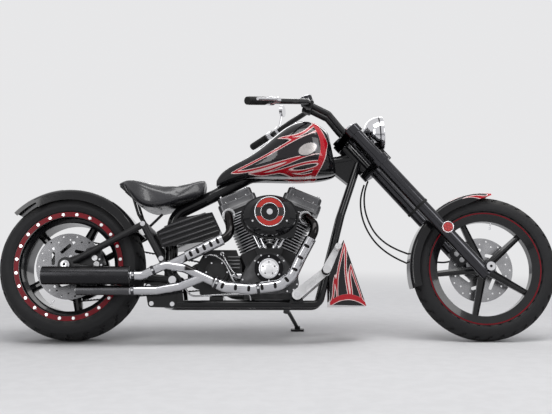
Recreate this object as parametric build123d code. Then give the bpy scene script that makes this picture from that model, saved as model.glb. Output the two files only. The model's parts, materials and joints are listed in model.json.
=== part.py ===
from build123d import *
import math
import os

# Chopper motorcycle with a V-twin engine, leaning on its side stand.
# All sizes are in millimetres. The machine is drawn upright first: X forward, Y to the rider's left,
# Z up, from the ground under the rear axle. At the end the whole of it leans over and is set on the ground.

# Overall stance
LEAN = 9.0
WHEELBASE = 1843.0
GAP = 0.3

# Rear wheel and tyre
REAR_TYRE_R = 324.0
REAR_TYRE_HALF = 120.0
REAR_CROWN_R = 200.0
REAR_BEAD_R = 228.6
REAR_BEAD_HALF = 101.0
REAR_BARREL_R = 206.0
REAR_HUB_R = 50.0
REAR_HUB_RIGHT = 84.0
REAR_HUB_LEFT = 126.0
REAR_SPOKE_PHASE = 63.0

# Front wheel and tyre
FRONT_TYRE_R = 322.0
FRONT_TYRE_HALF = 50.0
FRONT_CROWN_R = 50.0
FRONT_BEAD_R = 241.3
FRONT_BEAD_HALF = 31.0
FRONT_RIM_R = 212.0
FRONT_HUB_R = 34.0
FRONT_HUB_HALF = 56.0
FRONT_SPOKE_PHASE = 42.0

# Both wheels
SPOKES = 5
FLANGE_H = 12.0
FLANGE_T = 6.0

# Brake discs and calipers
DISC_R = 146.0
DISC_T = 5.0
DISC_BORE_R = 36.0
DISC_SLOTS = 7
DISC_HOLES = 28
REAR_DISC_Y = -REAR_HUB_RIGHT - DISC_T
FRONT_DISC_Y = FRONT_HUB_HALF
REAR_CALIPER_ANGLE = 18.0
CALIPER_PLATE = 8.0
CALIPER_R = 124.0
CALIPER_LENGTH = 88.0

# Axles
AXLE_R = 12.5
AXLE_FIT = 0.05
AXLE_BORE_R = 6.0
COLLAR_R = 20.0

# Belt drive
BELT_Y = 130.0
BELT_W = 20.0
BELT_T = 5.0
REAR_PULLEY_R = 138.0
FRONT_PULLEY_R = 62.0
PULLEY_BACK = 318.0
PULLEY_Z = 300.0

# Fork and steering head
RAKE = 42.0
FORK_LENGTH = 845.0
TREE_OFFSET = 60.0
AXLE_LEAD = 30.0
LEG_R = 31.0
SLIDER_R = 28.0
SLIDER_LENGTH = 400.0
LEG_Y = 110.0
LEG_TOP = 22.0
TREE_T = 34.0
TREE_WALL = 9.0
NECK_TOP = -20.0
NECK_LENGTH = 140.0
NECK_R = 32.0
STEM_R = 17.0
STEM_FIT = 0.05
TREE_RUN = 3.0

# Handlebar
BAR_R = 12.7
BAR_BACK = 153.7
BAR_RISE = 184.6
BAR_STRAIGHT = 90.0
BAR_PULL = 261.0
BAR_END_Y = 425.0
BAR_DROP = 90.0
BAR_BEND = 60.0
GRIP_LENGTH = 120.0
GRIP_R = 17.0
RISER_Y = 48.0
RISER_R = 14.0
RISER_U = 42.0
PERCH_BACK = 150.0
PERCH_R = 19.0
LEVER_OUT = 42.0
GAUGE_R = 31.0
MIRROR_RISE = 96.0
RISER_BEND = 24.0

# Headlamp
LAMP_R = 77.0
LAMP_AHEAD = 189.3
LAMP_RISE = 57.6
LAMP_DEPTH = 70.0
LAMP_WALL = 7.0

# Engine
CRANK_AHEAD = 418.0
CRANK_Z = 268.0
V_HALF = 22.5
DECK = 150.0
BARREL_H = 130.0
HEAD_H = 72.0
ROCKER_H = 74.0
BARREL_R = 56.0
FIN_R = 76.0
FIN_COUNT = 10
FIN_T = 3.2
HEAD_FINS = 5
HEAD_FIN_PITCH = 11.0
HEAD_HALF = 79.0
CASE_HALF = 80.0
CASE_R = 118.0
SUMP_Z = 182.0
CAM_DEPTH = 62.0
PUSHROD_Y = 104.0
PUSHROD_R = 8.0
TAPPET_Z = 404.0
INTAKE_Z = 590.0
AIR_AHEAD = 2.0
AIR_Z = 536.0
AIR_HALF_X = 127.0
AIR_HALF_Z = 96.0
AIR_Y = 141.0
AIR_DEPTH = 96.0

# Gearbox and primary drive
GEARBOX_LEFT = 90.0
GEARBOX_LOW = 205.0
PRIMARY_DEPTH = 60.0

# Frame
TUBE_R = 17.0
BRACKET_Y = 127.0
REGULATOR_Z = 380.0
REGULATOR_TUBE_R = 9.0
OIL_RIB_TILT = 19.0
BACKBONE_R = 28.0
RAIL_Y = 105.0
RAIL_Z = 160.0
POST_BACK = 33.0
DOWN_AHEAD = 217.0
DOWN_TOP_Y = 20.0
DOWN_MID_Y = 72.0
DOWN_MID_SHARE = 0.55
DOWN_MID_RISE = 0.62
GUSSET_BACK = 140.0
GUSSET_DOWN = 110.0
GUSSET_HALF = 26.0

# Swing arm, drawn fixed at its ride height
PIVOT_AHEAD = 139.0
PIVOT_Z = 262.0
PIVOT_R = 20.0
ARM_TOP_BACK = 133.0
ARM_TOP_RISE = 179.5
ARM_RIGHT_Y = -150.0
ARM_LEFT_Y = 176.0
ARM_R = 15.0

# Exhaust
PIPE_R = 19.0
SHIELD_R = 24.5
PIPE_Y = -200.0
SHIELD_CUT = 6.0
FRONT_SHIELD_SLOTS = 9
REAR_SHIELD_SLOTS = 5
MUFFLER_R = 39.0
MUFFLER_Y = -212.0
MUFFLER_Z = 277.0
MUFFLER_REAR = -84.0
MUFFLER_FRONT = 285.0
LOWER_MUFFLER_R = 21.0
LOWER_MUFFLER_Y = -195.0
LOWER_MUFFLER_Z = 215.0
LOWER_MUFFLER_REAR = 60.0

# Fenders
REAR_FENDER_GAP = 14.0
REAR_FENDER_DROP = 46.0
REAR_FENDER_TUCK = 2.5
REAR_FENDER_KNEE = 118.0
REAR_FENDER_END = 136.0
REAR_FENDER_TAIL_DROP = 22.0
FRONT_FENDER_GAP = 13.0
FRONT_FENDER_SIDE = 12.0
FRONT_FENDER_DROP = 40.0
FRONT_FENDER_START = 84.0
FRONT_FENDER_END = 195.0
FENDER_STRUT_UP = 313.0
LAMP_UP = 249.0
MARKER_R = 25.0
MARKER_T = 18.0
FENDER_T = 3.0

# Fuel tank sections: share of the way from the tank's tail to the steering head, height of the middle above
# the straight line between them, section height, half width, corner radius, backward tilt in degrees
TANK_TAIL_AHEAD = 177.0
TANK_TAIL_Z = 730.0
TANK = [
    (0.00, -21, 30, 30, 13, 0),
    (0.17, 17, 84, 88, 38, 0),
    (0.40, 47, 170, 146, 76, 2),
    (0.63, 66, 254, 166, 98, 6),
    (0.75, 56, 246, 146, 92, 9),
    (0.84, 38, 194, 84, 56, 11),
]

# Seat sections: x ahead of the pivot, middle height, section height, half width, corner radius
SEAT = [
    (-267.0, 704.0, 24.0, 44.0, 9.0),
    (-213.0, 690.0, 66.0, 112.0, 22.0),
    (-118.0, 640.0, 118.0, 152.0, 36.0),
    (-30.0, 636.0, 88.0, 150.0, 32.0),
    (57.0, 664.0, 80.0, 112.0, 28.0),
    (129.0, 696.0, 70.0, 74.0, 26.0),
]

# Foot controls
CONTROL_BACK = 98.0
CONTROL_Z = 196.0
CONTROL_Y = 210.0
CONTROL_T = 22.0
CONTROL_BOSS_R = 22.0
CONTROL_ARM_R = 17.0
PEG_AHEAD = 122.0
PEG_RISE = 99.0
PEG_R = 17.0
PEG_LENGTH = 95.0
PEDAL_AHEAD = 172.0
PEDAL_RISE = 199.0
PEDAL_R = 13.0

# Side stand
STAND_BACK = 138.0
STAND_Y = 140.0
STAND_Z = 150.0
STAND_FOOT_AHEAD = 53.0
STAND_FOOT_Y = 335.0
STAND_R = 9.0
STAND_BOSS_R = 15.0
STAND_BOSS_H = 20.0
STAND_EAR_T = 8.0
STAND_PIN_R = 8.0
STAND_FIT = 0.05
STAND_FOLDED = (-0.98, 0.2, 0.02)

# Hoses, each point set by hand along its hanging line for this length of fork
HOSE_R = 4.0
HOSE_FORK = 845.0
BRAKE_HOSE = [
    (-7, 76, -198), (-39, 76, -214), (-78, 76, -247), (-112, 76, -290), (-136, 76, -342),
    (-150, 76, -398), (-147, 76, -458), (-129, 76, -516), (-100, 76, -573), (-70, 76, -629),
    (-35, 77, -680), (0, 78, -716), (26, 77, -727),
]
SENSOR_HOSE = [
    (-29, 92, -198), (-70, 92, -220), (-113, 92, -262), (-146, 92, -313), (-168, 92, -374),
    (-176, 91, -439), (-168, 90, -503), (-150, 86, -560), (-134, 76, -599), (-127, 69.4, -618),
]

lean = math.radians(LEAN)
rake = math.radians(RAKE)
rear_z = REAR_TYRE_R - REAR_CROWN_R + REAR_CROWN_R / math.cos(lean)
front_z = FRONT_TYRE_R - FRONT_CROWN_R + FRONT_CROWN_R / math.cos(lean)
fender_half = -ARM_RIGHT_Y - ARM_R - GAP - FENDER_T
front_fender_half = FRONT_TYRE_HALF + FRONT_FENDER_SIDE
axle_u = TREE_OFFSET + AXLE_LEAD

# The steering frame: origin on the stem at the upper tree, X forward square to the stem, Z up along it
stem_x = WHEELBASE - math.cos(rake) * axle_u - math.sin(rake) * FORK_LENGTH
stem_z = front_z - math.sin(rake) * axle_u + math.cos(rake) * FORK_LENGTH
STEER = Plane(
    origin=(stem_x, 0, stem_z),
    x_dir=(math.cos(rake), 0, math.sin(rake)),
    z_dir=(-math.sin(rake), 0, math.cos(rake)),
).location
UP = (Align.CENTER, Align.CENTER, Align.MIN)

# Places along the machine that follow from the rear tyre, the swing arm and the engine
pivot_x = REAR_TYRE_R + PIVOT_AHEAD
arm_top_z = rear_z + ARM_TOP_RISE
crank_x = pivot_x + CRANK_AHEAD
post_x = pivot_x - POST_BACK
arm_top_x = pivot_x - ARM_TOP_BACK
arm_angle = math.degrees(math.atan2(arm_top_z - rear_z, arm_top_x))
down_x = crank_x + DOWN_AHEAD
control_x = down_x - CONTROL_BACK
stand_x = down_x - STAND_BACK
pulley_x = crank_x - PULLEY_BACK
bar_x = stem_x - BAR_BACK
bar_z = stem_z + BAR_RISE


def steer_point(u, y, s):
    """A point of the steering frame as plain coordinates."""
    spot = (STEER * Location((u, y, s))).position
    return (spot.X, spot.Y, spot.Z)


def fuse(pieces):
    """One node from several solids, joined where they meet."""
    whole = pieces[0]
    for piece in pieces[1:]:
        whole += piece
    return whole


def tube(points, radius, bend=60.0):
    """A round bar along straight runs joined by tangent arcs."""
    path = FilletPolyline(*points, radius=bend) if len(points) > 2 else Line(*points)
    start = Plane(origin=path @ 0, z_dir=path % 0)
    return sweep(start * Circle(radius), path=path)


def rod(a, b, radius):
    """A straight round bar between two points."""
    run = Vector(*b) - Vector(*a)
    seat = Plane(origin=a, z_dir=run)
    return extrude(seat * Circle(radius), run.length)


def across(x, z, y0, y1, radius):
    """A cylinder that lies along Y."""
    return rod((x, y0, z), (x, y1, z), radius)


def slab(outline, y0, y1):
    """A flat outline given in X and Z, thick from y0 to y1."""
    face = make_face(Polyline(*[(x, y0, z) for x, z in outline], close=True))
    return extrude(face, y1 - y0, dir=(0, 1, 0))


def spun(profile):
    """A closed outline of (y, radius) points turned about the Y axis."""
    face = make_face(Polyline(*[(0, y, r) for y, r in profile], close=True))
    return revolve(face, Axis.Y)


def hull_plate(circles, thickness):
    """A flat plate round a set of (x, y, radius) circles, thick along +Z."""
    rims = [Pos(x, y) * Circle(r).edge() for x, y, r in circles]
    return extrude(make_hull(ShapeList(rims)), thickness)


def side_plate(circles, y0, y1):
    """A flat plate round a set of (x, z, radius) circles, upright and thick from y0 to y1."""
    low, high = min(y0, y1), max(y0, y1)
    return Pos(0, high, 0) * Rot(90, 0, 0) * hull_plate(circles, high - low)


def arc_point(x, z, radius, angle):
    """The x and z of a point on a circle, at an angle above straight ahead."""
    turn = math.radians(angle)
    return (x + radius * math.cos(turn), z + radius * math.sin(turn))


def tyre(radius, half, crown, bead_r, bead_half):
    """A tyre round the Y axis, with a round crown and bulging side walls."""
    shoulder = 0.9 * half
    shoulder_r = radius - crown + math.sqrt(crown * crown - shoulder * shoulder)
    seat_r = bead_r + GAP
    lip_r = bead_r + FLANGE_H + 1.0
    seat = bead_half - GAP
    wall_r = (shoulder_r + lip_r) / 2
    edge = [
        Line((0, -seat, seat_r), (0, seat, seat_r)),
        Line((0, seat, seat_r), (0, seat, lip_r)),
        ThreePointArc((0, seat, lip_r), (0, half, wall_r), (0, shoulder, shoulder_r)),
        ThreePointArc((0, shoulder, shoulder_r), (0, 0, radius), (0, -shoulder, shoulder_r)),
        ThreePointArc((0, -shoulder, shoulder_r), (0, -half, wall_r), (0, -seat, lip_r)),
        Line((0, -seat, lip_r), (0, -seat, seat_r)),
    ]
    return revolve(make_face(Wire(edge)), Axis.Y)


def spoke(inner, outer, wide_in, wide_out, thick_in, thick_out):
    """One straight wheel spoke along +X with a ridge down each side."""
    def section(at, wide, thick):
        w, t = wide / 2, thick / 2
        ring = [(w, t * 0.55), (w * 0.3, t), (-w * 0.3, t), (-w, t * 0.55)]
        ring += [(-a, -b) for a, b in ring]
        return make_face(Polyline(*[(at, b, a) for a, b in ring], close=True))
    return loft([section(inner, wide_in, thick_in), section(outer, wide_out, thick_out)])


def spokes(arm, phase):
    """All the spokes of one wheel, from the first one's angle."""
    return fuse([Rot(0, -(phase + 360 / SPOKES * k), 0) * arm for k in range(SPOKES)])


def disc(y, z, x):
    """A drilled brake disc on slotted carrier arms."""
    plate = Circle(DISC_R) - Circle(DISC_BORE_R)
    for k in range(DISC_SLOTS):
        plate -= Rot(0, 0, 360 / DISC_SLOTS * k) * Pos(80, 0) * Rot(0, 0, 62) * SlotOverall(58, 15)
    for k in range(DISC_HOLES):
        plate -= Rot(0, 0, 360 / DISC_HOLES * k) * Pos(118 if k % 2 else 134, 0) * Circle(4)
    return Pos(x, y, z) * Rot(-90, 0, 0) * extrude(plate, DISC_T)


def rear_wheel():
    """Rear tyre, wheel, disc and belt pulley."""
    seat = REAR_BEAD_HALF
    lip = REAR_BEAD_R + FLANGE_H
    outer = seat + FLANGE_T
    inner_edge = lip - 2 * FLANGE_H
    rim = [
        (-outer, lip), (-seat, lip), (-seat, REAR_BEAD_R), (-0.7 * seat, REAR_BEAD_R), (-60, REAR_BARREL_R),
        (60, REAR_BARREL_R), (0.7 * seat, REAR_BEAD_R), (seat, REAR_BEAD_R), (seat, lip), (outer, lip),
        (outer, inner_edge), (0.8 * seat, REAR_BARREL_R + 8), (66, REAR_BARREL_R - 10),
        (-66, REAR_BARREL_R - 10), (-0.8 * seat, REAR_BARREL_R + 8), (-outer, inner_edge),
    ]
    wheel = spun(rim)
    wheel += across(0, 0, -REAR_HUB_RIGHT, REAR_HUB_LEFT, REAR_HUB_R)
    wheel += spokes(spoke(REAR_HUB_R - 8, REAR_BARREL_R - 6, 46, 34, 60, 40), REAR_SPOKE_PHASE)
    wheel += across(0, 0, REAR_DISC_Y, -REAR_HUB_RIGHT, DISC_BORE_R - GAP)
    wheel -= across(0, 0, REAR_DISC_Y - 1, REAR_HUB_LEFT + 1, AXLE_R + AXLE_FIT)
    wide = 4.0
    pulley = across(0, 0, BELT_Y - wide, BELT_Y + BELT_W + wide, REAR_PULLEY_R)
    pulley -= across(0, 0, BELT_Y + wide, BELT_Y + BELT_W + wide + 1, REAR_PULLEY_R - 14)
    pulley += across(0, 0, BELT_Y - wide, BELT_Y + BELT_W, REAR_HUB_R - wide)
    for k in range(SPOKES):
        pulley -= Rot(0, 360 / SPOKES * k, 0) * across(0.62 * REAR_PULLEY_R, 0, 0, 200, 0.19 * REAR_PULLEY_R)
    pulley -= across(0, 0, 0, 300, AXLE_R + AXLE_FIT)
    at = Pos(0, 0, rear_z)
    return {
        "rear_tyre": at * tyre(REAR_TYRE_R, REAR_TYRE_HALF, REAR_CROWN_R, REAR_BEAD_R, REAR_BEAD_HALF),
        "rear_wheel": at * wheel,
        "rear_disc": disc(REAR_DISC_Y, rear_z, 0),
        "rear_pulley": at * pulley,
    }


def front_wheel():
    """Front tyre, five-spoke wheel and disc."""
    seat = FRONT_BEAD_HALF
    lip = FRONT_BEAD_R + FLANGE_H
    outer = seat + FLANGE_T
    rim = [
        (-outer, lip), (-seat, lip), (-seat, FRONT_BEAD_R), (seat, FRONT_BEAD_R), (seat, lip),
        (outer, lip), (outer, lip - 10), (25, FRONT_RIM_R), (-25, FRONT_RIM_R), (-outer, lip - 10),
    ]
    wheel = spun(rim)
    wheel += across(0, 0, -FRONT_HUB_HALF, FRONT_HUB_HALF, FRONT_HUB_R)
    wheel += spokes(spoke(FRONT_HUB_R - 8, FRONT_RIM_R + 4, 34, 26, 44, 28), FRONT_SPOKE_PHASE)
    wheel += across(0, 0, FRONT_HUB_HALF, FRONT_DISC_Y + DISC_T, DISC_BORE_R - GAP)
    wheel -= across(0, 0, -FRONT_HUB_HALF - 1, FRONT_DISC_Y + DISC_T + 1, AXLE_R + AXLE_FIT)
    at = Pos(WHEELBASE, 0, front_z)
    return {
        "front_tyre": at * tyre(FRONT_TYRE_R, FRONT_TYRE_HALF, FRONT_CROWN_R, FRONT_BEAD_R, FRONT_BEAD_HALF),
        "front_wheel": at * wheel,
        "front_disc": disc(FRONT_DISC_Y, front_z, WHEELBASE),
    }


def fender_shell(tyre_r, gap, half, drop, start, end, z, x):
    """A curved mudguard skin round a wheel, from start to end degrees above straight ahead."""
    r1 = tyre_r + gap
    r2 = r1 + FENDER_T
    crown = 0.72 * half
    outer_half = half + FENDER_T
    knee, shoulder, lean_out = r1 - 0.25 * drop, r1 - 0.06 * drop, 0.7 * FENDER_T
    edge = []
    for s in (1, -1):
        edge += [
            Line((r1 - drop, s * half, 0), (knee, s * half, 0)),
            ThreePointArc((knee, s * half, 0), (shoulder, s * 0.9 * half, 0), (r1, s * crown, 0)),
            Line((r1 - drop, s * outer_half, 0), (knee, s * outer_half, 0)),
            ThreePointArc(
                (knee, s * outer_half, 0),
                (shoulder + lean_out, s * (0.9 * half + lean_out), 0),
                (r2, s * crown, 0),
            ),
            Line((r1 - drop, s * half, 0), (r1 - drop, s * outer_half, 0)),
        ]
    edge += [Line((r1, crown, 0), (r1, -crown, 0)), Line((r2, -crown, 0), (r2, crown, 0))]
    face = make_face(Wire(edge))
    return Pos(x, 0, z) * revolve(Rot(0, -start, 0) * face, Axis.Y, -(end - start))


def fenders():
    """Rear fender with its tail lamp and front fender with its struts and pointed tip."""
    rear = fender_shell(
        REAR_TYRE_R, REAR_FENDER_GAP, fender_half, REAR_FENDER_DROP, arm_angle - REAR_FENDER_TUCK,
        REAR_FENDER_KNEE, rear_z, 0,
    )
    rear += fender_shell(
        REAR_TYRE_R, REAR_FENDER_GAP, fender_half, REAR_FENDER_TAIL_DROP, REAR_FENDER_KNEE, REAR_FENDER_END,
        rear_z, 0,
    )
    outer_r = REAR_TYRE_R + REAR_FENDER_GAP + FENDER_T
    stub_x, stub_z = arc_point(0, rear_z, outer_r - REAR_FENDER_DROP + 12, arm_angle)
    rear += across(stub_x, stub_z, fender_half + 1, ARM_LEFT_Y - ARM_R - GAP, 10)
    lamp_x, lamp_z = arc_point(0, rear_z, outer_r + 8, REAR_FENDER_END - 9)
    lamp = Pos(lamp_x, 0, lamp_z) * Rot(0, -(REAR_FENDER_END - 9), 0) * Box(26, 84, 34)
    lamp -= across(0, rear_z, -100, 100, outer_r + GAP)
    front = fender_shell(
        FRONT_TYRE_R, FRONT_FENDER_GAP, front_fender_half, FRONT_FENDER_DROP, FRONT_FENDER_START,
        FRONT_FENDER_END, front_z, WHEELBASE,
    )
    low_r = FRONT_TYRE_R + FRONT_FENDER_GAP - FRONT_FENDER_DROP
    tip = [
        arc_point(WHEELBASE, front_z, low_r + FRONT_FENDER_DROP - 4, FRONT_FENDER_START - 1),
        arc_point(WHEELBASE, front_z, low_r + 0.4 * FRONT_FENDER_DROP, FRONT_FENDER_START + 9),
        arc_point(WHEELBASE, front_z, low_r - 1, FRONT_FENDER_START + 24),
        arc_point(WHEELBASE, front_z, low_r - 60, FRONT_FENDER_START + 12),
        arc_point(WHEELBASE, front_z, low_r, FRONT_FENDER_START - 20),
    ]
    front -= slab(tip, -front_fender_half - 20, front_fender_half + 20)
    leg_face = LEG_Y - SLIDER_R - GAP
    for side in (-1, 1):
        strut = Box(34, leg_face - front_fender_half - 1, 34)
        middle = (leg_face + front_fender_half + 1) / 2
        front += STEER * Pos(TREE_OFFSET, side * middle, -FORK_LENGTH + FENDER_STRUT_UP) * strut
    return {"rear_fender": rear, "front_fender": front, "tail_lamp": lamp}


def steering():
    """Fork legs, both trees with the stem, and the front axle."""
    slider_top = -(FORK_LENGTH - SLIDER_LENGTH)
    parts = {}
    for side, name in ((-1, "right"), (1, "left")):
        y = side * LEG_Y
        leg = Pos(TREE_OFFSET, y, slider_top) * Cylinder(LEG_R, LEG_TOP - slider_top, align=UP)
        slider = Pos(TREE_OFFSET, y, -FORK_LENGTH - 18) * Cylinder(SLIDER_R, SLIDER_LENGTH + 18, align=UP)
        lug = Pos(axle_u, y, -FORK_LENGTH) * Rot(90, 0, 0) * Cylinder(26, 46)
        web = Pos(TREE_OFFSET + AXLE_LEAD / 2, y, -FORK_LENGTH) * Box(AXLE_LEAD, 40, 46)
        hole = Pos(axle_u, y, -FORK_LENGTH) * Rot(90, 0, 0) * Cylinder(AXLE_R + AXLE_FIT, 80)
        parts[f"fork_leg_{name}"] = STEER * (leg + slider + lug + web - hole)
    rims = [(0, 0, STEM_R * 2)]
    rims += [(TREE_OFFSET, side * LEG_Y, LEG_R + TREE_WALL) for side in (1, -1)]

    def tree(top):
        plate = Pos(0, 0, top - TREE_T) * hull_plate(rims, TREE_T)
        for side in (-1, 1):
            plate -= Pos(TREE_OFFSET, side * LEG_Y, top) * Cylinder(LEG_R + GAP, 4 * TREE_T)
        return plate

    lower_top = NECK_TOP - NECK_LENGTH - TREE_RUN
    upper_bottom = NECK_TOP + TREE_RUN
    upper = tree(upper_bottom + TREE_T) - Pos(0, 0, upper_bottom) * Cylinder(STEM_R + GAP, 4 * TREE_T)
    nut_h = 14.0
    stem_length = upper_bottom + TREE_T + nut_h - lower_top + 1
    stem = Pos(0, 0, lower_top - 1) * Cylinder(STEM_R, stem_length, align=UP)
    nut = Pos(0, 0, upper_bottom + TREE_T + GAP) * Cylinder(STEM_R + 7, nut_h - GAP, align=UP)
    parts["upper_tree"] = STEER * upper
    parts["lower_tree"] = STEER * (tree(lower_top) + stem + nut)
    end = LEG_Y + 36
    axle = Pos(axle_u, 0, -FORK_LENGTH) * Rot(90, 0, 0) * Cylinder(AXLE_R, 2 * end)
    for side in (-1, 1):
        axle += Pos(axle_u, side * end, -FORK_LENGTH) * Rot(90, 0, 0) * Cylinder(AXLE_R + 7, 12)
    axle -= Pos(axle_u, 0, -FORK_LENGTH) * Rot(90, 0, 0) * Cylinder(AXLE_BORE_R, 2 * end + 20)
    parts["front_axle"] = STEER * axle
    return parts


def bar_frame(side):
    """The end of the bar on one side and the unit vector that points out along it."""
    end = Vector(bar_x - BAR_PULL, side * BAR_END_Y, bar_z - BAR_DROP)
    root = Vector(bar_x, side * BAR_STRAIGHT, bar_z)
    return end, (end - root).normalized()


def handlebar():
    """Pulled-back bar, grips, levers, left mirror, risers and gauge."""
    ends = {side: bar_frame(side) for side in (-1, 1)}
    line = [
        tuple(ends[-1][0]), (bar_x, -BAR_STRAIGHT, bar_z), (bar_x, BAR_STRAIGHT, bar_z), tuple(ends[1][0]),
    ]
    parts = {"handlebar": tube(line, BAR_R, BAR_BEND)}
    grips, levers = [], []
    for side, (end, out) in ends.items():
        tip = end + out * 8
        start = end - out * (GRIP_LENGTH - 8)
        grip = rod(tuple(start), tuple(tip), GRIP_R)
        grips.append(grip - rod(tuple(start - out), tuple(end + out * GAP), BAR_R + GAP))
        ahead = Vector(0, 0, 1).cross(out) * (-side)
        perch = end - out * PERCH_BACK
        clamp = rod(tuple(perch - out * 14), tuple(perch + out * 14), PERCH_R)
        pivot = perch + ahead * LEVER_OUT + out * 4
        blade = [tuple(perch), tuple(pivot), tuple(end + ahead * (LEVER_OUT + 8))]
        lever = clamp + tube(blade, 6.5, 14)
        lever += rod(tuple(perch + ahead * 20 - out * 34), tuple(perch + ahead * 20 + out * 16), 13)
        levers.append(lever - rod(tuple(perch - out * 40), tuple(perch + out * 40), BAR_R + GAP))
    parts["grips"] = fuse(grips)
    parts["bar_levers"] = fuse(levers)
    end, out = ends[1]
    perch = end - out * (PERCH_BACK + 62)
    head = perch + Vector(18, 6, MIRROR_RISE)
    stalk = rod(tuple(perch), tuple(head), 5)
    stalk += rod(tuple(perch - out * 9), tuple(perch + out * 9), PERCH_R - 1)
    stalk -= rod(tuple(perch - out * 20), tuple(perch + out * 20), BAR_R + GAP)
    glass = extrude(Plane(origin=head + Vector(7, 0, 0), z_dir=(-1, 0.2, 0.1)) * Ellipse(48, 26), 14)
    parts["mirror"] = stalk + glass
    top = NECK_TOP + TREE_RUN + TREE_T
    posts = []
    for side in (-1, 1):
        y = side * RISER_Y
        run = [
            steer_point(RISER_U, y, top + GAP), steer_point(RISER_U, y, top + 44),
            (bar_x + 93, y, bar_z - 47), (bar_x, y, bar_z),
        ]
        clamp = Pos(bar_x, y, bar_z) * Rot(0, 25, 0) * Box(46, 30, 40)
        posts.append(tube(run, RISER_R, RISER_BEND) + fillet(clamp.edges().filter_by(Axis.Y), 9))
    risers = fuse(posts)
    risers -= rod((bar_x, -BAR_STRAIGHT, bar_z), (bar_x, BAR_STRAIGHT, bar_z), BAR_R + GAP)
    parts["risers"] = risers
    gauge = Pos(bar_x - 6, 0, bar_z + 28) * Rot(0, -20, 0) * Cylinder(GAUGE_R, 36)
    parts["gauge"] = gauge - across(bar_x, bar_z, -80, 80, BAR_R + GAP)
    return parts


def headlamp():
    """Bullet headlamp with its lens, on an arm from the lower tree."""
    seat = Pos(stem_x + LAMP_AHEAD, 0, stem_z + LAMP_RISE) * Rot(0, -4, 0)

    def bowl(extra):
        r = LAMP_R + extra
        deep = LAMP_DEPTH + 16 + extra
        ball = Pos(-16, 0, 0) * Sphere(r)
        ball &= Pos(-16 - deep / 2, 0, 0) * Box(deep, 2 * r + 2, 2 * r + 2)
        return ball + Pos(-8, 0, 0) * Rot(0, 90, 0) * Cylinder(r, 16)

    shell = bowl(0) - Rot(0, 90, 0) * Cylinder(LAMP_R - LAMP_WALL, 24)
    lens = Pos(-5, 0, 0) * Rot(0, 90, 0) * Cylinder(LAMP_R - LAMP_WALL - GAP, 13)
    tree_front = TREE_OFFSET + LEG_R + TREE_WALL + GAP
    arm = STEER * Pos(tree_front + 14, 0, NECK_TOP - NECK_LENGTH + 10) * Box(28, 30, 90)
    arm -= seat * bowl(GAP)
    return {"headlamp": seat * shell, "headlamp_lens": seat * lens, "lamp_bracket": arm}


def hoses():
    """Two hoses that hang from the lower tree to the front fender and the caliper."""
    parts = {}
    tree = NECK_TOP - NECK_LENGTH - TREE_RUN - TREE_T
    stretch = (FORK_LENGTH + tree) / (HOSE_FORK + tree)
    for name, route in (("brake_hose", BRAKE_HOSE), ("sensor_hose", SENSOR_HOSE)):
        points = [steer_point(u, y, tree + (s - tree) * stretch) for u, y, s in route]
        radii = bend_radii(points)
        print(name, "bend radii", [round(r) for r in radii])
        path = FilletPolyline(*points, radius=radii)
        start = Plane(origin=path @ 0, z_dir=path % 0)
        parts[name] = sweep(start * Circle(HOSE_R), path=path)
    return parts


def bend_radii(points):
    """The radius of the arc at each inner point, from the shorter run beside it and its turn."""
    radii = []
    for before, here, after in zip(points, points[1:], points[2:]):
        first = Vector(*here) - Vector(*before)
        second = Vector(*after) - Vector(*here)
        turn = math.radians(first.get_angle(second))
        radii.append(0.45 * min(first.length, second.length) / math.tan(turn / 2))
    return radii


def cylinder_frame(side):
    """Place at the crank with Z along one cylinder; side is +1 for the front one."""
    a = math.radians(V_HALF) * side
    return Plane(
        origin=(crank_x, 0, CRANK_Z),
        x_dir=(math.cos(a), 0, -math.sin(a)),
        z_dir=(math.sin(a), 0, math.cos(a)),
    ).location


def on_cylinder(side, across_axis, y, height):
    """A point given from one cylinder's axis, its height measured from the crank."""
    spot = (cylinder_frame(side) * Location((across_axis, y, height))).position
    return (spot.X, spot.Y, spot.Z)


def pushrod_line(side, inner):
    """The two ends of one pushrod tube; inner is the one nearer the middle of the V."""
    low = (crank_x + side * (12 if inner else 34), -PUSHROD_Y, TAPPET_Z - 12)
    high = on_cylinder(side, -side * (34 if inner else 6), -PUSHROD_Y + 4, DECK + BARREL_H + 20)
    return low, high


def crankcase():
    """The case round the crank with a deck for each cylinder."""
    case = across(crank_x, CRANK_Z, -CASE_HALF, CASE_HALF, CASE_R)
    foot = [(-111, SUMP_Z), (119, SUMP_Z), (129, CRANK_Z + 32), (-121, CRANK_Z + 32)]
    case += slab([(crank_x + x, z) for x, z in foot], -CASE_HALF, CASE_HALF)
    for side in (-1, 1):
        case += cylinder_frame(side) * Pos(0, 0, DECK / 2) * Box(150, 2 * CASE_HALF - 10, DECK)
    for side in (-1, 1):
        case -= cylinder_frame(side) * Pos(side * 120, 0, DECK + 150) * Box(400, 400, 300)
    case -= Pos(crank_x, 0, SUMP_Z - 100) * Box(400, 400, 200)
    return case


def barrel(side):
    """One finned cylinder barrel, trimmed at the middle of the V."""
    pitch = BARREL_H / FIN_COUNT
    comb = [(0, 0), (BARREL_R, 0)]
    for k in range(FIN_COUNT):
        z0 = (k + 0.5) * pitch - FIN_T / 2
        comb += [(BARREL_R, z0), (FIN_R, z0), (FIN_R, z0 + FIN_T), (BARREL_R, z0 + FIN_T)]
    comb += [(BARREL_R, BARREL_H), (0, BARREL_H)]
    face = make_face(Polyline(*[(r, 0, z) for r, z in comb], close=True))
    solid = cylinder_frame(side) * Pos(0, 0, DECK) * revolve(face, Axis.Z)
    return solid - Pos(crank_x - side * (200 - GAP), 0, CRANK_Z + 232) * Box(400, 400, 600)


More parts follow.
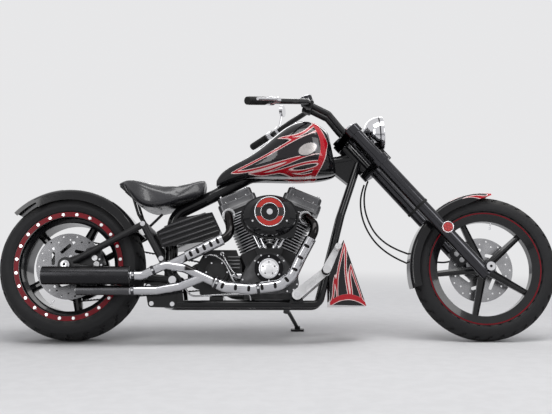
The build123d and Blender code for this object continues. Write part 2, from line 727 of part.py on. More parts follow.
def head(side):
    """One finned cylinder head with the lug that takes the two pushrod tubes."""
    base = DECK + BARREL_H
    solid = Pos(0, 0, base) * extrude(RectangleRounded(130, 130, 30), HEAD_H)
    for k in range(HEAD_FINS):
        fin = RectangleRounded(176, 2 * HEAD_HALF, 34)
        solid += Pos(0, 0, base + 4 + k * HEAD_FIN_PITCH) * extrude(fin, FIN_T)
    lug = Box(66, PUSHROD_Y + 14 - 60, 22)
    solid += Pos(-side * 20, -(PUSHROD_Y + 14 + 60) / 2, base + 17) * lug
    return cylinder_frame(side) * solid


def rocker_box(side):
    """The two-step cover over one head, its upper edges rounded."""
    base = DECK + BARREL_H + HEAD_H
    step = 0.55 * ROCKER_H
    lower = extrude(RectangleRounded(178, 140, 22), step)
    upper = extrude(RectangleRounded(160, 124, 20), ROCKER_H - step)
    lower = fillet(lower.edges().group_by(Axis.Z)[-1], 5)
    upper = fillet(upper.edges().group_by(Axis.Z)[-1], 9)
    return cylinder_frame(side) * Pos(0, 0, base) * (lower + Pos(0, 0, step) * upper)


def engine():
    """Crankcase, finned barrels, heads, rocker covers, pushrod tubes and the covers."""
    cam = side_plate(
        [(crank_x, CRANK_Z + 34, 84), (crank_x + 84, CRANK_Z - 18, 44), (crank_x - 84, CRANK_Z - 22, 44)],
        -CASE_HALF, -CASE_HALF - CAM_DEPTH,
    )
    tappets = [(-43, 350), (43, 350), (62, TAPPET_Z), (-62, TAPPET_Z)]
    cam += slab([(crank_x + x, z) for x, z in tappets], -PUSHROD_Y - 18, -CASE_HALF)
    heads = {side: head(side) for side in (1, -1)}
    rods = []
    for side in (1, -1):
        for inner in (True, False):
            low, high = pushrod_line(side, inner)
            rods.append(rod(low, high, PUSHROD_R))
            socket = rod(low, high, PUSHROD_R + GAP)
            cam -= socket
            heads[side] -= socket
    face_y = -CASE_HALF - CAM_DEPTH
    ring = across(crank_x - 2, CRANK_Z + 44, face_y - 14, face_y, 62)
    ring += across(crank_x - 2, CRANK_Z + 44, face_y - 22, face_y - 14, 43)
    return {
        "crankcase": crankcase(),
        "cylinders": Compound(children=[barrel(1), barrel(-1)]),
        "heads": Compound(children=[heads[1], heads[-1]]),
        "rocker_boxes": Compound(children=[rocker_box(1), rocker_box(-1)]),
        "cam_cover": cam,
        "timer_cover": ring,
        "pushrod_tubes": Compound(children=rods),
        "air_cleaner": air_cleaner(),
        "intake": intake(),
    }


def air_cleaner():
    """Base plate with one square corner, domed cover and the bare ring in its middle."""
    outline = Ellipse(AIR_HALF_X, AIR_HALF_Z)
    corner = [(0, -AIR_HALF_Z), (AIR_HALF_X - 22, -AIR_HALF_Z + 4), (AIR_HALF_X, 0)]
    outline += make_face(Polyline((0, 0), *corner, close=True))
    seat = Pos(crank_x + AIR_AHEAD, -AIR_Y, AIR_Z) * Rot(90, 0, 0)
    body = extrude(outline, 0.3 * AIR_DEPTH)
    dome = [
        Pos(0, 0, 0.3 * AIR_DEPTH) * Ellipse(AIR_HALF_X - 6, AIR_HALF_Z - 6),
        Pos(0, 0, 0.7 * AIR_DEPTH) * Ellipse(AIR_HALF_X - 14, AIR_HALF_Z - 12),
        Pos(0, 0, AIR_DEPTH - 8) * Ellipse(AIR_HALF_X - 40, AIR_HALF_Z - 26),
    ]
    body += loft(dome, ruled=True)
    ring = Pos(0, 12, AIR_DEPTH - 9) * extrude(Circle(66), 9)
    return seat * (body + ring)


def intake():
    """The pipe from the air cleaner to both heads, cut clear of them."""
    pipe = across(crank_x, INTAKE_Z, -AIR_Y + GAP, 0, 26)
    pipe += Pos(crank_x, 0, INTAKE_Z) * Rot(0, 90, 0) * Cylinder(21, 180)
    for side in (-1, 1):
        block = Box(176 + 2 * GAP, 170, HEAD_H + 80)
        pipe -= cylinder_frame(side) * Pos(0, 0, DECK + BARREL_H + HEAD_H / 2 + 40) * block
    return pipe


def backbone():
    """The line of the main tube from the steering head over the engine and down behind the gearbox."""
    neck = steer_point(-6, 0, -83)
    return [
        neck, (crank_x - 91, 0, 742), (crank_x - 261, 0, 652), (pivot_x - 17, 0, 566), (post_x, 0, RAIL_Z),
    ]


def down_tube(side):
    """The line of one cradle tube from the steering head down and back under the engine."""
    top = steer_point(-5, side * DOWN_TOP_Y, -115)
    middle_x = down_x + DOWN_MID_SHARE * (top[0] - down_x)
    middle_z = RAIL_Z + DOWN_MID_RISE * (top[2] - RAIL_Z)
    return [
        top, (middle_x, side * DOWN_MID_Y, middle_z), (down_x, side * RAIL_Y, RAIL_Z),
        (post_x + 20, side * RAIL_Y, RAIL_Z), (post_x, side * (RAIL_Y - 34), RAIL_Z),
        (post_x, 0, RAIL_Z),
    ]


def stand_axis():
    """The hinge line of the side stand, square to its leg both down and folded."""
    down = Vector(STAND_FOOT_AHEAD, STAND_FOOT_Y - STAND_Y, stand_ground() + 16 - STAND_Z)
    return down.normalized().cross(Vector(*STAND_FOLDED)).normalized()


def stand_ground():
    """Height of the leaning machine's ground at the stand's foot, in the upright drawing."""
    return STAND_FOOT_Y * math.tan(lean)


def frame():
    """Steering head, backbone, cradle tubes, cross members, lugs and the stand's ears with their pin."""
    body = STEER * Pos(0, 0, NECK_TOP - NECK_LENGTH) * Cylinder(NECK_R, NECK_LENGTH, align=UP)
    body += tube(backbone(), BACKBONE_R, 90)
    body += neck_gusset() + across(post_x, RAIL_Z, -60, 60, TUBE_R)
    for side in (-1, 1):
        body += tube(down_tube(side), TUBE_R, 34)
        lug = [(pivot_x, PIVOT_Z, PIVOT_R + 14), (post_x, RAIL_Z, 14), (post_x + 66, RAIL_Z, 14)]
        body += side_plate(lug, side * 89, side * 119)
        mount = [(control_x, CONTROL_Z, 18), (control_x - 22, RAIL_Z, 12), (control_x + 22, RAIL_Z, 12)]
        body += side_plate(mount, side * (RAIL_Y - 9), side * (RAIL_Y + 16))
    for x in (crank_x - 81, crank_x + 79):
        body += Pos(x, 0, RAIL_Z) * Box(34, 2 * RAIL_Y, 24)
        body += Pos(x, 0, (RAIL_Z + SUMP_Z - GAP) / 2) * Box(34, 90, SUMP_Z - GAP - RAIL_Z)
    body += Pos(crank_x - 231, 0, RAIL_Z + 18) * Box(60, 2 * RAIL_Y, 30)
    pad_h = GEARBOX_LOW - GAP - RAIL_Z
    body += Pos(crank_x - 231, 0, RAIL_Z + pad_h / 2) * Box(50, 120, pad_h)
    cross_x, cross_y = down_tube_at(REGULATOR_Z)
    body += across(cross_x, REGULATOR_Z, -cross_y, cross_y, REGULATOR_TUBE_R)
    bracket = side_plate(
        [(post_x - 74, 236, 16), (post_x + 30, 240, 16), (post_x + 30, 160, 16), (post_x - 60, 162, 16)],
        -BRACKET_Y, -BRACKET_Y + 8,
    )
    body += bracket + across(post_x + 4, RAIL_Z + 10, -BRACKET_Y + 4, -RAIL_Y + 10, 12)
    body -= across(pivot_x, PIVOT_Z, -200, 200, PIVOT_R + GAP)
    body -= STEER * Pos(0, 0, NECK_TOP - NECK_LENGTH / 2) * Cylinder(STEM_R + STEM_FIT, NECK_LENGTH + 60)
    return {"frame": body + stand_ears(), "regulator": regulator()}


def neck_gusset():
    """The plate that fills the corner between the steering head, the backbone and the down tubes."""
    neck, middle = backbone()[:2]
    share = GUSSET_BACK / (neck[0] - middle[0])
    back = (neck[0] - GUSSET_BACK, neck[2] + share * (middle[2] - neck[2]))
    low_x = upper_tube_at(back[1] - GUSSET_DOWN)
    top, bottom = steer_point(-8, 0, -55), steer_point(-8, 0, -138)
    outline = [(top[0], top[2]), back, (low_x + 12, back[1] - GUSSET_DOWN), (bottom[0], bottom[2])]
    return slab(outline, -GUSSET_HALF, GUSSET_HALF)


def stand_ears():
    """Two ears beside the rail and the pin that the stand's boss turns on."""
    axis = stand_axis()
    inward = Vector(1, 0, 0).cross(axis) * -1
    hinge = Plane(origin=(stand_x, STAND_Y, STAND_Z), x_dir=inward, z_dir=axis)
    if inward.Y > 0:
        hinge = Plane(origin=(stand_x, STAND_Y, STAND_Z), x_dir=inward * -1, z_dir=axis)
    reach = STAND_Y - RAIL_Y
    ear = hull_plate([(0, 0, STAND_BOSS_R), (reach, 0, 12)], STAND_EAR_T)
    gap = STAND_BOSS_H / 2 + GAP
    ears = Pos(0, 0, gap) * ear + Pos(0, 0, -gap - STAND_EAR_T) * ear
    ears += Pos(0, 0, -gap - 1) * Cylinder(STAND_PIN_R, 2 * gap + 2, align=UP)
    return hinge.location * ears


def upper_tube_at(z):
    """The x of the down tubes' upper run at a height."""
    top, middle = down_tube(1)[:2]
    return middle[0] + (z - middle[2]) / (top[2] - middle[2]) * (top[0] - middle[0])


def down_tube_at(z):
    """The x and the half spread of the down tubes at a height."""
    low, high = down_tube(1)[2], down_tube(1)[1]
    share = (z - low[2]) / (high[2] - low[2])
    return low[0] + share * (high[0] - low[0]), low[1] + share * (high[1] - low[1])


def regulator():
    """The finned electrical box in front of the engine, on its own cross tube."""
    deep = 26.0
    box = Box(deep, 96, 84)
    for k in range(7):
        box += Pos(deep / 2 + 3, 0, -36 + 12 * k) * Box(12, 96, 4)
    seat_x = down_tube_at(REGULATOR_Z)[0] + REGULATOR_TUBE_R + GAP + deep / 2
    return Pos(seat_x, 0, REGULATOR_Z) * box


def swingarm():
    """Rear triangle on the pivot tube, and the axle with its collars."""
    body = across(pivot_x, PIVOT_Z, ARM_RIGHT_Y - 14, ARM_LEFT_Y + 14, PIVOT_R)
    body += across(arm_top_x, arm_top_z, ARM_RIGHT_Y, ARM_LEFT_Y, ARM_R)
    for y in (ARM_RIGHT_Y, ARM_LEFT_Y):
        corners = [(pivot_x, y, PIVOT_Z), (0, y, rear_z), (arm_top_x, y, arm_top_z)]
        for a, b in zip(corners, corners[1:] + corners[:1]):
            body += rod(a, b, ARM_R)
        body += across(0, rear_z, y - ARM_R, y + ARM_R, 34)
    body -= across(0, rear_z, -300, 300, AXLE_R + AXLE_FIT)
    right, left = ARM_RIGHT_Y - 2 * ARM_R, ARM_LEFT_Y + 2 * ARM_R
    axle = across(0, rear_z, right, left, AXLE_R)
    runs = [
        (right, ARM_RIGHT_Y - ARM_R - GAP),
        (ARM_LEFT_Y + ARM_R + GAP, left),
        (ARM_RIGHT_Y + ARM_R + CALIPER_PLATE + 2 * GAP, REAR_DISC_Y - 1),
        (BELT_Y + BELT_W + 5, ARM_LEFT_Y - ARM_R - GAP),
    ]
    for y0, y1 in runs:
        axle += across(0, rear_z, y0, y1, COLLAR_R)
    axle -= across(0, rear_z, right - 1, left + 1, AXLE_BORE_R)
    return {"swingarm": body, "rear_axle": axle}


def bodywork():
    """Tank with its cap, seat, oil tank and chin spoiler."""
    parts = {}
    tail_x = pivot_x + TANK_TAIL_AHEAD
    neck_x, neck_y, neck_z = backbone()[0]
    rings = []
    for share, lift, high, half, corner, tilt in TANK:
        x = tail_x + share * (neck_x - tail_x)
        z = TANK_TAIL_Z + share * (neck_z - TANK_TAIL_Z) + lift
        ring = RectangleRounded(2 * half, high, corner)
        rings.append(Plane.YZ.offset(x).location * Pos(0, z, 0) * Rot(-tilt, 0, 0) * ring)
    tank = loft(rings)
    tunnel = BACKBONE_R + GAP
    line = [(x, z + 36) for x, y, z in backbone()[:3]]
    low = [line[0], line[1], line[2], (line[2][0] - 60, line[2][1] - 32)]
    low += [(low[-1][0], 560), (neck_x + 40, 560), (neck_x + 40, line[0][1])]
    parts["fuel_tank"] = tank - slab(low, -tunnel, tunnel)
    cap_x = tail_x + 0.6 * (neck_x - tail_x)
    cap = Pos(cap_x, 0, TANK_TAIL_Z + 0.6 * (neck_z - TANK_TAIL_Z) + 194) * Rot(0, -18, 0) * Cylinder(30, 30)
    parts["fuel_cap"] = cap - tank
    rings = []
    for ahead, z, high, half, corner in SEAT:
        rings.append(Plane.YZ.offset(pivot_x + ahead).location * Pos(0, z, 0) * RectangleRounded(
            2 * half, high, corner
        ))
    parts["seat"] = loft(rings) - tube(backbone(), BACKBONE_R + GAP, 90)
    parts["oil_tank"] = oil_tank()
    spoiler = [(110, 443), (211, 156), (47, 156), (44, 309)]
    spoiler = slab([(down_x + x, z) for x, z in spoiler], -120, 120)
    plan = [(2, -112), (82, -112), (232, -40), (232, 40), (82, 112), (2, 112)]
    plan = make_face(Polyline(*[(down_x + x, y) for x, y in plan], close=True))
    spoiler &= Pos(0, 0, 100) * extrude(plan, 400)
    inner = [(2, -78), (70, -78), (196, -24), (196, 24), (70, 78), (2, 78)]
    inner = make_face(Polyline(*[(down_x + x, y) for x, y in inner], close=True))
    spoiler -= Pos(0, 0, 176) * extrude(inner, 400)
    for side in (-1, 1):
        spoiler -= tube(down_tube(side)[:3], TUBE_R + GAP, 34)
    parts["chin_spoiler"] = spoiler
    rods = []
    tail_rod = [(pivot_x - 249, 690), (pivot_x - 193, 640), (pivot_x - 167, 560)]
    tail_rod.append((arm_top_x - 6, arm_top_z + 8))
    for side in (-1, 1):
        rods.append(tube([(x, side * 70, z) for x, z in tail_rod], 6, 30))
    stay = [(pivot_x - 68, 0, 572), (pivot_x - 100, 0, 540), (arm_top_x + 4, 0, arm_top_z + 6)]
    rods.append(tube(stay, 6, 20))
    stays = Compound(children=[
        piece - parts["seat"] - across(arm_top_x, arm_top_z, -200, 200, ARM_R + GAP) for piece in rods
    ])
    parts["seat_stays"] = stays
    return parts


def oil_tank():
    """Horseshoe oil tank with slanted ribs, open at the back round the seat post."""
    outline = [(-75, 471), (-50, 405), (192, 436), (205, 480), (168, 559), (27, 535)]
    tank = slab([(pivot_x + x, z) for x, z in outline], -150, 112)
    for k in range(6):
        spot = Pos(pivot_x + 62, -151, 418 + 24 * k) * Rot(0, -OIL_RIB_TILT, 0)
        tank -= spot * Box(400, 12, 7)
    notch = BACKBONE_R + GAP
    tank -= Pos(post_x - 50, 0, 480) * Box(100, 2 * notch, 400)
    return tank - tube(backbone(), notch, 90)


def exhaust():
    """Two joined headers, their slotted heat shields and the two silencers."""
    y = PIPE_Y
    front = [
        (crank_x + 159, -HEAD_HALF - GAP, 545), (crank_x + 159, -122, 545), (crank_x + 207, y + 4, 490),
        (crank_x + 132, y, 350), (crank_x + 97, y, 276), (crank_x + 46, y, 236), (crank_x - 77, y, 220),
        (crank_x - 191, y, 229), (pivot_x + 55, y, 309), (pivot_x - 28, y - 6, 322),
        (MUFFLER_FRONT + 55, MUFFLER_Y, MUFFLER_Z), (MUFFLER_FRONT + GAP, MUFFLER_Y, MUFFLER_Z),
    ]
    rear = [
        (crank_x - 181, -HEAD_HALF - GAP, 556), (crank_x - 181, -120, 556), (crank_x - 165, y + 10, 452),
        (pivot_x - 11, y - 1, 322),
    ]
    low = [
        (pivot_x + 137, y + 2, 271), (pivot_x + 37, y + 2, 232),
        (pivot_x - 63, LOWER_MUFFLER_Y, LOWER_MUFFLER_Z),
        (MUFFLER_FRONT + GAP, LOWER_MUFFLER_Y, LOWER_MUFFLER_Z),
    ]
    pipes = tube(front, PIPE_R, 60) + tube(rear, PIPE_R, 50) + tube(low, PIPE_R, 60)
    front_run = front[2:9]
    front_run[0] = tuple(Vector(*front[2]) * 0.62 + Vector(*front[3]) * 0.38)
    front_run[-1] = tuple(Vector(*front[7]) * 0.75 + Vector(*front[8]) * 0.25)
    rear_run = [tuple(Vector(*rear[2]) * 0.86 + Vector(*rear[3]) * 0.14)]
    rear_run.append(tuple(Vector(*rear[2]) * 0.28 + Vector(*rear[3]) * 0.72))
    shields = [
        shield(front_run, FRONT_SHIELD_SLOTS),
        shield(rear_run, REAR_SHIELD_SLOTS),
    ]
    cans = []
    for z, can_y, r, rear_x in (
        (MUFFLER_Z, MUFFLER_Y, MUFFLER_R, MUFFLER_REAR),
        (LOWER_MUFFLER_Z, LOWER_MUFFLER_Y, LOWER_MUFFLER_R, LOWER_MUFFLER_REAR),
    ):
        length = MUFFLER_FRONT - rear_x
        can = Pos(rear_x + length / 2, can_y, z) * Rot(0, 90, 0) * Cylinder(r, length)
        cans.append(can - Pos(rear_x, can_y, z) * Rot(0, 90, 0) * Cylinder(r - 5, 120))
    return {
        "exhaust_pipes": pipes,
        "heat_shields": Compound(children=shields),
        "mufflers": Compound(children=cans),
    }


def shield(run, slots):
    """Half a tube along the outside of a header, with half-moon slots along its middle."""
    path = FilletPolyline(*run, radius=60) if len(run) > 2 else Line(*run)
    shell = tube(run, SHIELD_R, 60) - tube(run, PIPE_R + GAP, 60)
    keep = Pos(crank_x, PIPE_Y - 50 + SHIELD_CUT, 300) * Box(1400, 100, 900)
    shell &= keep
    for k in range(slots):
        share = (k + 0.7) / (slots + 0.4)
        spot = Plane(origin=path @ share, x_dir=path % share, z_dir=(0, 1, 0))
        moon = Rot(0, 0, 90) * SlotOverall(26, 13)
        shell -= spot * Pos(0, 0, -60) * extrude(moon, 60)
    return shell


def drivetrain():
    """Gearbox, primary cover, belt pulley and belt."""
    parts = {}
    front = -121.3
    outline = [(-306, GEARBOX_LOW), (front, GEARBOX_LOW), (front, 330), (-146, 400), (-281, 400), (-321, 330)]
    box = slab([(crank_x + x, z) for x, z in outline], -CASE_HALF + GAP, GEARBOX_LEFT)
    box += across(crank_x - 231, 300, -CASE_HALF - 18, -CASE_HALF + 2, 52)
    box += across(crank_x - 231, 300, -CASE_HALF - 24, -CASE_HALF - 18, 40)
    parts["gearbox"] = box
    clutch_x = crank_x - 144
    inner = GEARBOX_LEFT + GAP
    cover = side_plate([(crank_x, CRANK_Z, 88), (clutch_x, 292, 100)], inner, inner + PRIMARY_DEPTH)
    cover = fillet(cover.edges().filter_by(lambda e: e.center().Y > inner + PRIMARY_DEPTH - 1), 12)
    outer = inner + PRIMARY_DEPTH
    parts["primary_cover"] = cover + across(clutch_x, 292, outer - 1, outer + 10, 70)
    pulley = across(pulley_x, PULLEY_Z, BELT_Y - 4, BELT_Y + BELT_W + 4, FRONT_PULLEY_R)
    pulley += across(pulley_x, PULLEY_Z, inner, BELT_Y, 28)
    parts["front_pulley"] = pulley
    outer = [
        (0, rear_z, REAR_PULLEY_R + GAP + BELT_T),
        (pulley_x, PULLEY_Z, FRONT_PULLEY_R + GAP + BELT_T),
    ]
    hole = [(x, z, r - BELT_T) for x, z, r in outer]
    loop = side_plate(outer, BELT_Y, BELT_Y + BELT_W)
    parts["drive_belt"] = loop - side_plate(hole, BELT_Y - 1, BELT_Y + BELT_W + 1)
    return parts


def controls():
    """Forward foot controls on both sides, and both brake calipers."""
    parts = {}
    peg_x, peg_z = control_x + PEG_AHEAD, CONTROL_Z + PEG_RISE
    pad_x, pad_z = control_x + PEDAL_AHEAD, CONTROL_Z + PEDAL_RISE
    for side, name in ((-1, "right"), (1, "left")):
        inner, outer = side * (CONTROL_Y - CONTROL_T / 2), side * (CONTROL_Y + CONTROL_T / 2)
        whole = across(control_x, CONTROL_Z, side * (RAIL_Y + 16 + GAP), side * CONTROL_Y, 16)
        arm = [(control_x, CONTROL_Z, CONTROL_BOSS_R), (peg_x, peg_z, CONTROL_ARM_R)]
        whole += side_plate(arm, inner, outer)
        whole += across(peg_x, peg_z, side * CONTROL_Y, outer + side * PEG_LENGTH, PEG_R)
        link = side * (CONTROL_Y - CONTROL_T / 2 - 10)
        whole += side_plate([(peg_x, peg_z, 20), (pad_x, pad_z, 12)], link, link + side * 12)
        whole += across(pad_x, pad_z, link, outer + side * 64, PEDAL_R)
        parts[f"foot_control_{name}"] = whole
    plate_y = ARM_RIGHT_Y + ARM_R + GAP
    reach_x, reach_z = arc_point(0, rear_z, CALIPER_R - 8, REAR_CALIPER_ANGLE)
    plate = side_plate([(0, rear_z, 30), (reach_x, reach_z, 32)], plate_y, plate_y + CALIPER_PLATE)
    plate -= across(0, rear_z, plate_y - 1, plate_y + CALIPER_PLATE + 1, AXLE_R + AXLE_FIT)
    body = Box(58, -plate_y - 56, CALIPER_LENGTH)
    mid_x, mid_z = arc_point(0, rear_z, CALIPER_R, REAR_CALIPER_ANGLE)
    body = Pos(mid_x, (plate_y + 2 - 58) / 2, mid_z) * Rot(0, -REAR_CALIPER_ANGLE, 0) * fillet(
        body.edges().filter_by(Axis.Y), 12
    )
    body += plate
    body -= across(0, rear_z, REAR_DISC_Y - 5, REAR_DISC_Y + DISC_T + 5, DISC_R + 5)
    body -= across(0, rear_z, REAR_DISC_Y, 0, REAR_HUB_R + 6)
    parts["rear_caliper"] = body
    half = LEG_Y - SLIDER_R - GAP
    inside = FRONT_DISC_Y - 15
    body = fillet(Box(64, half - inside, CALIPER_LENGTH - 4).edges().filter_by(Axis.Y), 12)
    body = STEER * Pos(TREE_OFFSET, (half + inside) / 2, -FORK_LENGTH + CALIPER_R - 14) * body
    body -= across(WHEELBASE, front_z, FRONT_DISC_Y - 5, FRONT_DISC_Y + DISC_T + 5, DISC_R + 5)
    parts["front_caliper"] = body
    lamps = []
    for side in (-1, 1):
        middle = side * (LEG_Y + SLIDER_R + GAP + MARKER_T / 2)
        lamp = Rot(side * 90, 0, 0) * Cylinder(MARKER_R, MARKER_T)
        lamp = fillet(lamp.edges().group_by(Axis.Y)[0 if side < 0 else -1], 6)
        lamps.append(STEER * Pos(TREE_OFFSET + 8, middle, -FORK_LENGTH + LAMP_UP) * lamp)
    parts["marker_lamps"] = fuse(lamps)
    return parts


def side_stand():
    """Stand leg on its bored boss, with its foot flat on the ground."""
    ground = stand_ground()
    axis = stand_axis()
    hinge = Plane(origin=(stand_x, STAND_Y, STAND_Z), z_dir=axis).location
    boss = hinge * Cylinder(STAND_BOSS_R, STAND_BOSS_H)
    foot_x = stand_x + STAND_FOOT_AHEAD
    leg = rod((stand_x, STAND_Y, STAND_Z), (foot_x, STAND_FOOT_Y, ground + 16), STAND_R)
    sole = Pos(foot_x, STAND_FOOT_Y, ground) * Rot(LEAN, 0, 0)
    foot = sole * Pos(0, 0, 5) * fillet(Box(64, 44, 10).edges().filter_by(Axis.Z), 14)
    stub = sole * Pos(0, 0, 14) * Box(26, 24, 20)
    stand = boss + leg + foot + stub
    return {"side_stand": stand - hinge * Cylinder(STAND_PIN_R + STAND_FIT, 2 * STAND_BOSS_H)}


def assemble():
    """Every node by name, leaning on the stand with the middle of the box's underside at the origin."""
    nodes = {}
    for group in (
        rear_wheel, front_wheel, fenders, steering, handlebar, headlamp, hoses, engine,
        frame, swingarm, bodywork, exhaust, drivetrain, controls, side_stand,
    ):
        nodes.update(group())
    tilt = Rot(-LEAN, 0, 0)
    nodes = {name: tilt * shape for name, shape in nodes.items()}
    boxes = [shape.bounding_box() for shape in nodes.values()]
    x0, x1 = min(b.min.X for b in boxes), max(b.max.X for b in boxes)
    y0, y1 = min(b.min.Y for b in boxes), max(b.max.Y for b in boxes)
    low = min(b.min.Z for b in boxes)
    print("shift", -(x0 + x1) / 2, -(y0 + y1) / 2, -low)
    move = Pos(-(x0 + x1) / 2, -(y0 + y1) / 2, -low)
    return {name: move * shape for name, shape in nodes.items()}


def main():
    os.makedirs("parts", exist_ok=True)
    for name, shape in assemble().items():
        export_step(shape, f"parts/{name}.step")


main()
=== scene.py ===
"""Dresses the leaning chopper: a finish on every part, modelled details, padded seat, hoses and studio.

Pieces are drawn upright in metres, X forward from the rear axle, Y to the rider's left, Z up from the
ground, as the machine itself is drawn. The stance then leans them over and sets them on the parts.
"""
from __future__ import annotations

import json
import logging
import math
from contextlib import contextmanager
from dataclasses import asdict, dataclass, field
from enum import Enum
from typing import Callable, Iterator, Sequence

import bpy
from mathutils import Euler, Matrix, Vector

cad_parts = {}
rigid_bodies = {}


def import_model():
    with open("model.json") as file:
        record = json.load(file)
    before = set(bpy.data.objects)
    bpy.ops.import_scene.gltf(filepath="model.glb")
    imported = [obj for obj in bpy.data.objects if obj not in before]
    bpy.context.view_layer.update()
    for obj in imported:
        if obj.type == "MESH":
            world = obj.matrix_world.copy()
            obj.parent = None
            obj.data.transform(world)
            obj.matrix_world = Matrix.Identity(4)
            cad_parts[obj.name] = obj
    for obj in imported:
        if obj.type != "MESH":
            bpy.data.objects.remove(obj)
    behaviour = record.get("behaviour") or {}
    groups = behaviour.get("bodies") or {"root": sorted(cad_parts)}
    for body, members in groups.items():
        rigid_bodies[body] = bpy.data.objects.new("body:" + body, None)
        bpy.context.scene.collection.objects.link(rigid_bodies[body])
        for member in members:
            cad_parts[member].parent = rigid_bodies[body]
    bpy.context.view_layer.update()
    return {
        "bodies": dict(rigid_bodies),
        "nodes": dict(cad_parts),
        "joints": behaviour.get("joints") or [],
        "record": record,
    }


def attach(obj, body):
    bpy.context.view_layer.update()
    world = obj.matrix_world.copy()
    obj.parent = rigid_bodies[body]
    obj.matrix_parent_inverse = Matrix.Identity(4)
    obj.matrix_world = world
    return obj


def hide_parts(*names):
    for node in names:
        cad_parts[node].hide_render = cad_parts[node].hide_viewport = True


LOG = logging.getLogger("chopper")

Piece = bpy.types.Object
Socket = bpy.types.NodeSocket
Point = tuple[float, float, float]
Colour = tuple[float, float, float]
FaceTest = Callable[[Vector, Vector], bool]

RIGHT = (0, -1, 0)
LEFT = (0, 1, 0)
AHEAD = (1, 0, 0)
UP = (0, 0, 1)
SIDES = {"right": -1, "left": 1}

# The sharpest angle, in degrees, that is shaded smooth on a piece with flats and on a round one.
FLAT = 35.0
ROUND = 60.0

# Places on the engine that more than one piece or finish is drawn from, in metres.
CRANK = (0.881, 0.0, 0.268)
CYLINDER_TILT = math.radians(22.5)
AIR_CLEANER = (0.883, -0.2370, 0.548)
TIMER = (0.879, 0.312)


class Body(Enum):
    """The rigid bodies of the machine that modelled pieces ride on."""

    CHASSIS = "chassis"
    STEERING = "steering"
    FRONT_WHEEL = "front_wheel_body"
    REAR_WHEEL = "rear_wheel_body"


class Lie(Enum):
    """The direction that a round piece's axis lies along."""

    X = (0.0, math.pi / 2, 0.0)
    Y = (math.pi / 2, 0.0, 0.0)
    Z = (0.0, 0.0, 0.0)


@dataclass
class Stance:
    """How the upright drawing sits on the ground, read from the rear wheel's axle joint."""

    tyre_radius: float = 0.324
    crown_radius: float = 0.200
    rake: float = math.radians(42.0)
    wheelbase: float = 1.843
    fork_length: float = 0.845
    axle_ahead: float = 0.090
    front_tyre_radius: float = 0.322
    front_crown_radius: float = 0.050
    lean: float = 0.0
    matrix: Matrix = field(default_factory=Matrix)

    def read(self, joints: Sequence[dict]) -> None:
        """Finds the lean and the shift of the drawing.

        Args:
            joints: the machine's joints, each with its name, place and axis.
        """
        spin = next(j for j in joints if j["name"] == "rear_wheel_spin")
        axis = Vector(spin["axis"])
        self.lean = math.atan2(-axis.z, axis.y)
        turn = Matrix.Rotation(-self.lean, 4, "X")
        axle = turn @ Vector((0.0, 0.0, self.rear_axle))
        self.matrix = Matrix.Translation(Vector(spin["pos_m"]) - axle) @ turn

    @property
    def rear_axle(self) -> float:
        """Height of the rear axle over the ground, on the leaning tyre's round crown."""
        crown = self.crown_radius
        return self.tyre_radius - crown + crown / math.cos(self.lean)

    @property
    def front_axle(self) -> float:
        """Height of the front axle over the ground."""
        crown = self.front_crown_radius
        return self.front_tyre_radius - crown + crown / math.cos(self.lean)

    def axle(self, body: Body, y: float) -> Point:
        """The place on a wheel's axle at a distance from the middle plane."""
        if body is Body.REAR_WHEEL:
            return (0.0, y, self.rear_axle)
        return (self.wheelbase, y, self.front_axle)

    @property
    def steer(self) -> Matrix:
        """The steering frame: X square to the stem and forward, Z up along the stem."""
        c, s = math.cos(self.rake), math.sin(self.rake)
        x = self.wheelbase - c * self.axle_ahead - s * self.fork_length
        z = self.front_axle - s * self.axle_ahead + c * self.fork_length
        return Matrix(((c, 0, -s, x), (0, 1, 0, 0), (s, 0, c, z), (0, 0, 0, 1)))


STANCE = Stance()


def clear() -> None:
    """Deselects every object."""
    bpy.ops.object.select_all(action="DESELECT")


def focus(obj: Piece) -> None:
    """Makes one object the only selected and active one.

    Args:
        obj: the object to work on.
    """
    clear()
    obj.select_set(True)
    bpy.context.view_layer.objects.active = obj


def pick(obj: Piece, test: FaceTest) -> int:
    """Selects the faces of a mesh by their middle and normal.

    Args:
        obj: a mesh object in object mode.
        test: tells from a face's middle and normal whether it is wanted.

    Returns:
        How many faces were selected.
    """
    mesh = obj.data
    mesh.vertices.foreach_set("select", [False] * len(mesh.vertices))
    mesh.edges.foreach_set("select", [False] * len(mesh.edges))
    chosen = [test(face.center, face.normal) for face in mesh.polygons]
    mesh.polygons.foreach_set("select", chosen)
    return sum(chosen)


@contextmanager
def editing(obj: Piece, kind: str = "FACE") -> Iterator[None]:
    """Opens edit mode on one object and closes it afterwards.

    Args:
        obj: the mesh object to edit.
        kind: VERT, EDGE or FACE selection.
    """
    focus(obj)
    bpy.context.tool_settings.mesh_select_mode = (kind == "VERT", kind == "EDGE", kind == "FACE")
    bpy.ops.object.mode_set(mode="EDIT")
    yield
    bpy.ops.object.mode_set(mode="OBJECT")


def settle(obj: Piece, name: str) -> Piece:
    """Names a new primitive and moves its place into its mesh.

    Args:
        obj: the object just added.
        name: its plain name.

    Returns:
        The same object.
    """
    obj.name = name
    obj.data.name = name
    focus(obj)
    bpy.ops.object.transform_apply(location=True, rotation=True, scale=True)
    return obj


def drum(name: str, at: Point, radius: float, length: float, lie: Lie, sides: int) -> Piece:
    """Adds a round bar or plate.

    Args:
        name: the piece's name.
        at: its middle.
        radius: its radius.
        length: its length along its axis.
        lie: the direction of its axis.
        sides: how many sides its round face has.

    Returns:
        The new object.
    """
    clear()
    bpy.ops.mesh.primitive_cylinder_add(
        vertices=sides, radius=radius, depth=length, location=at, rotation=lie.value
    )
    return settle(bpy.context.active_object, name)


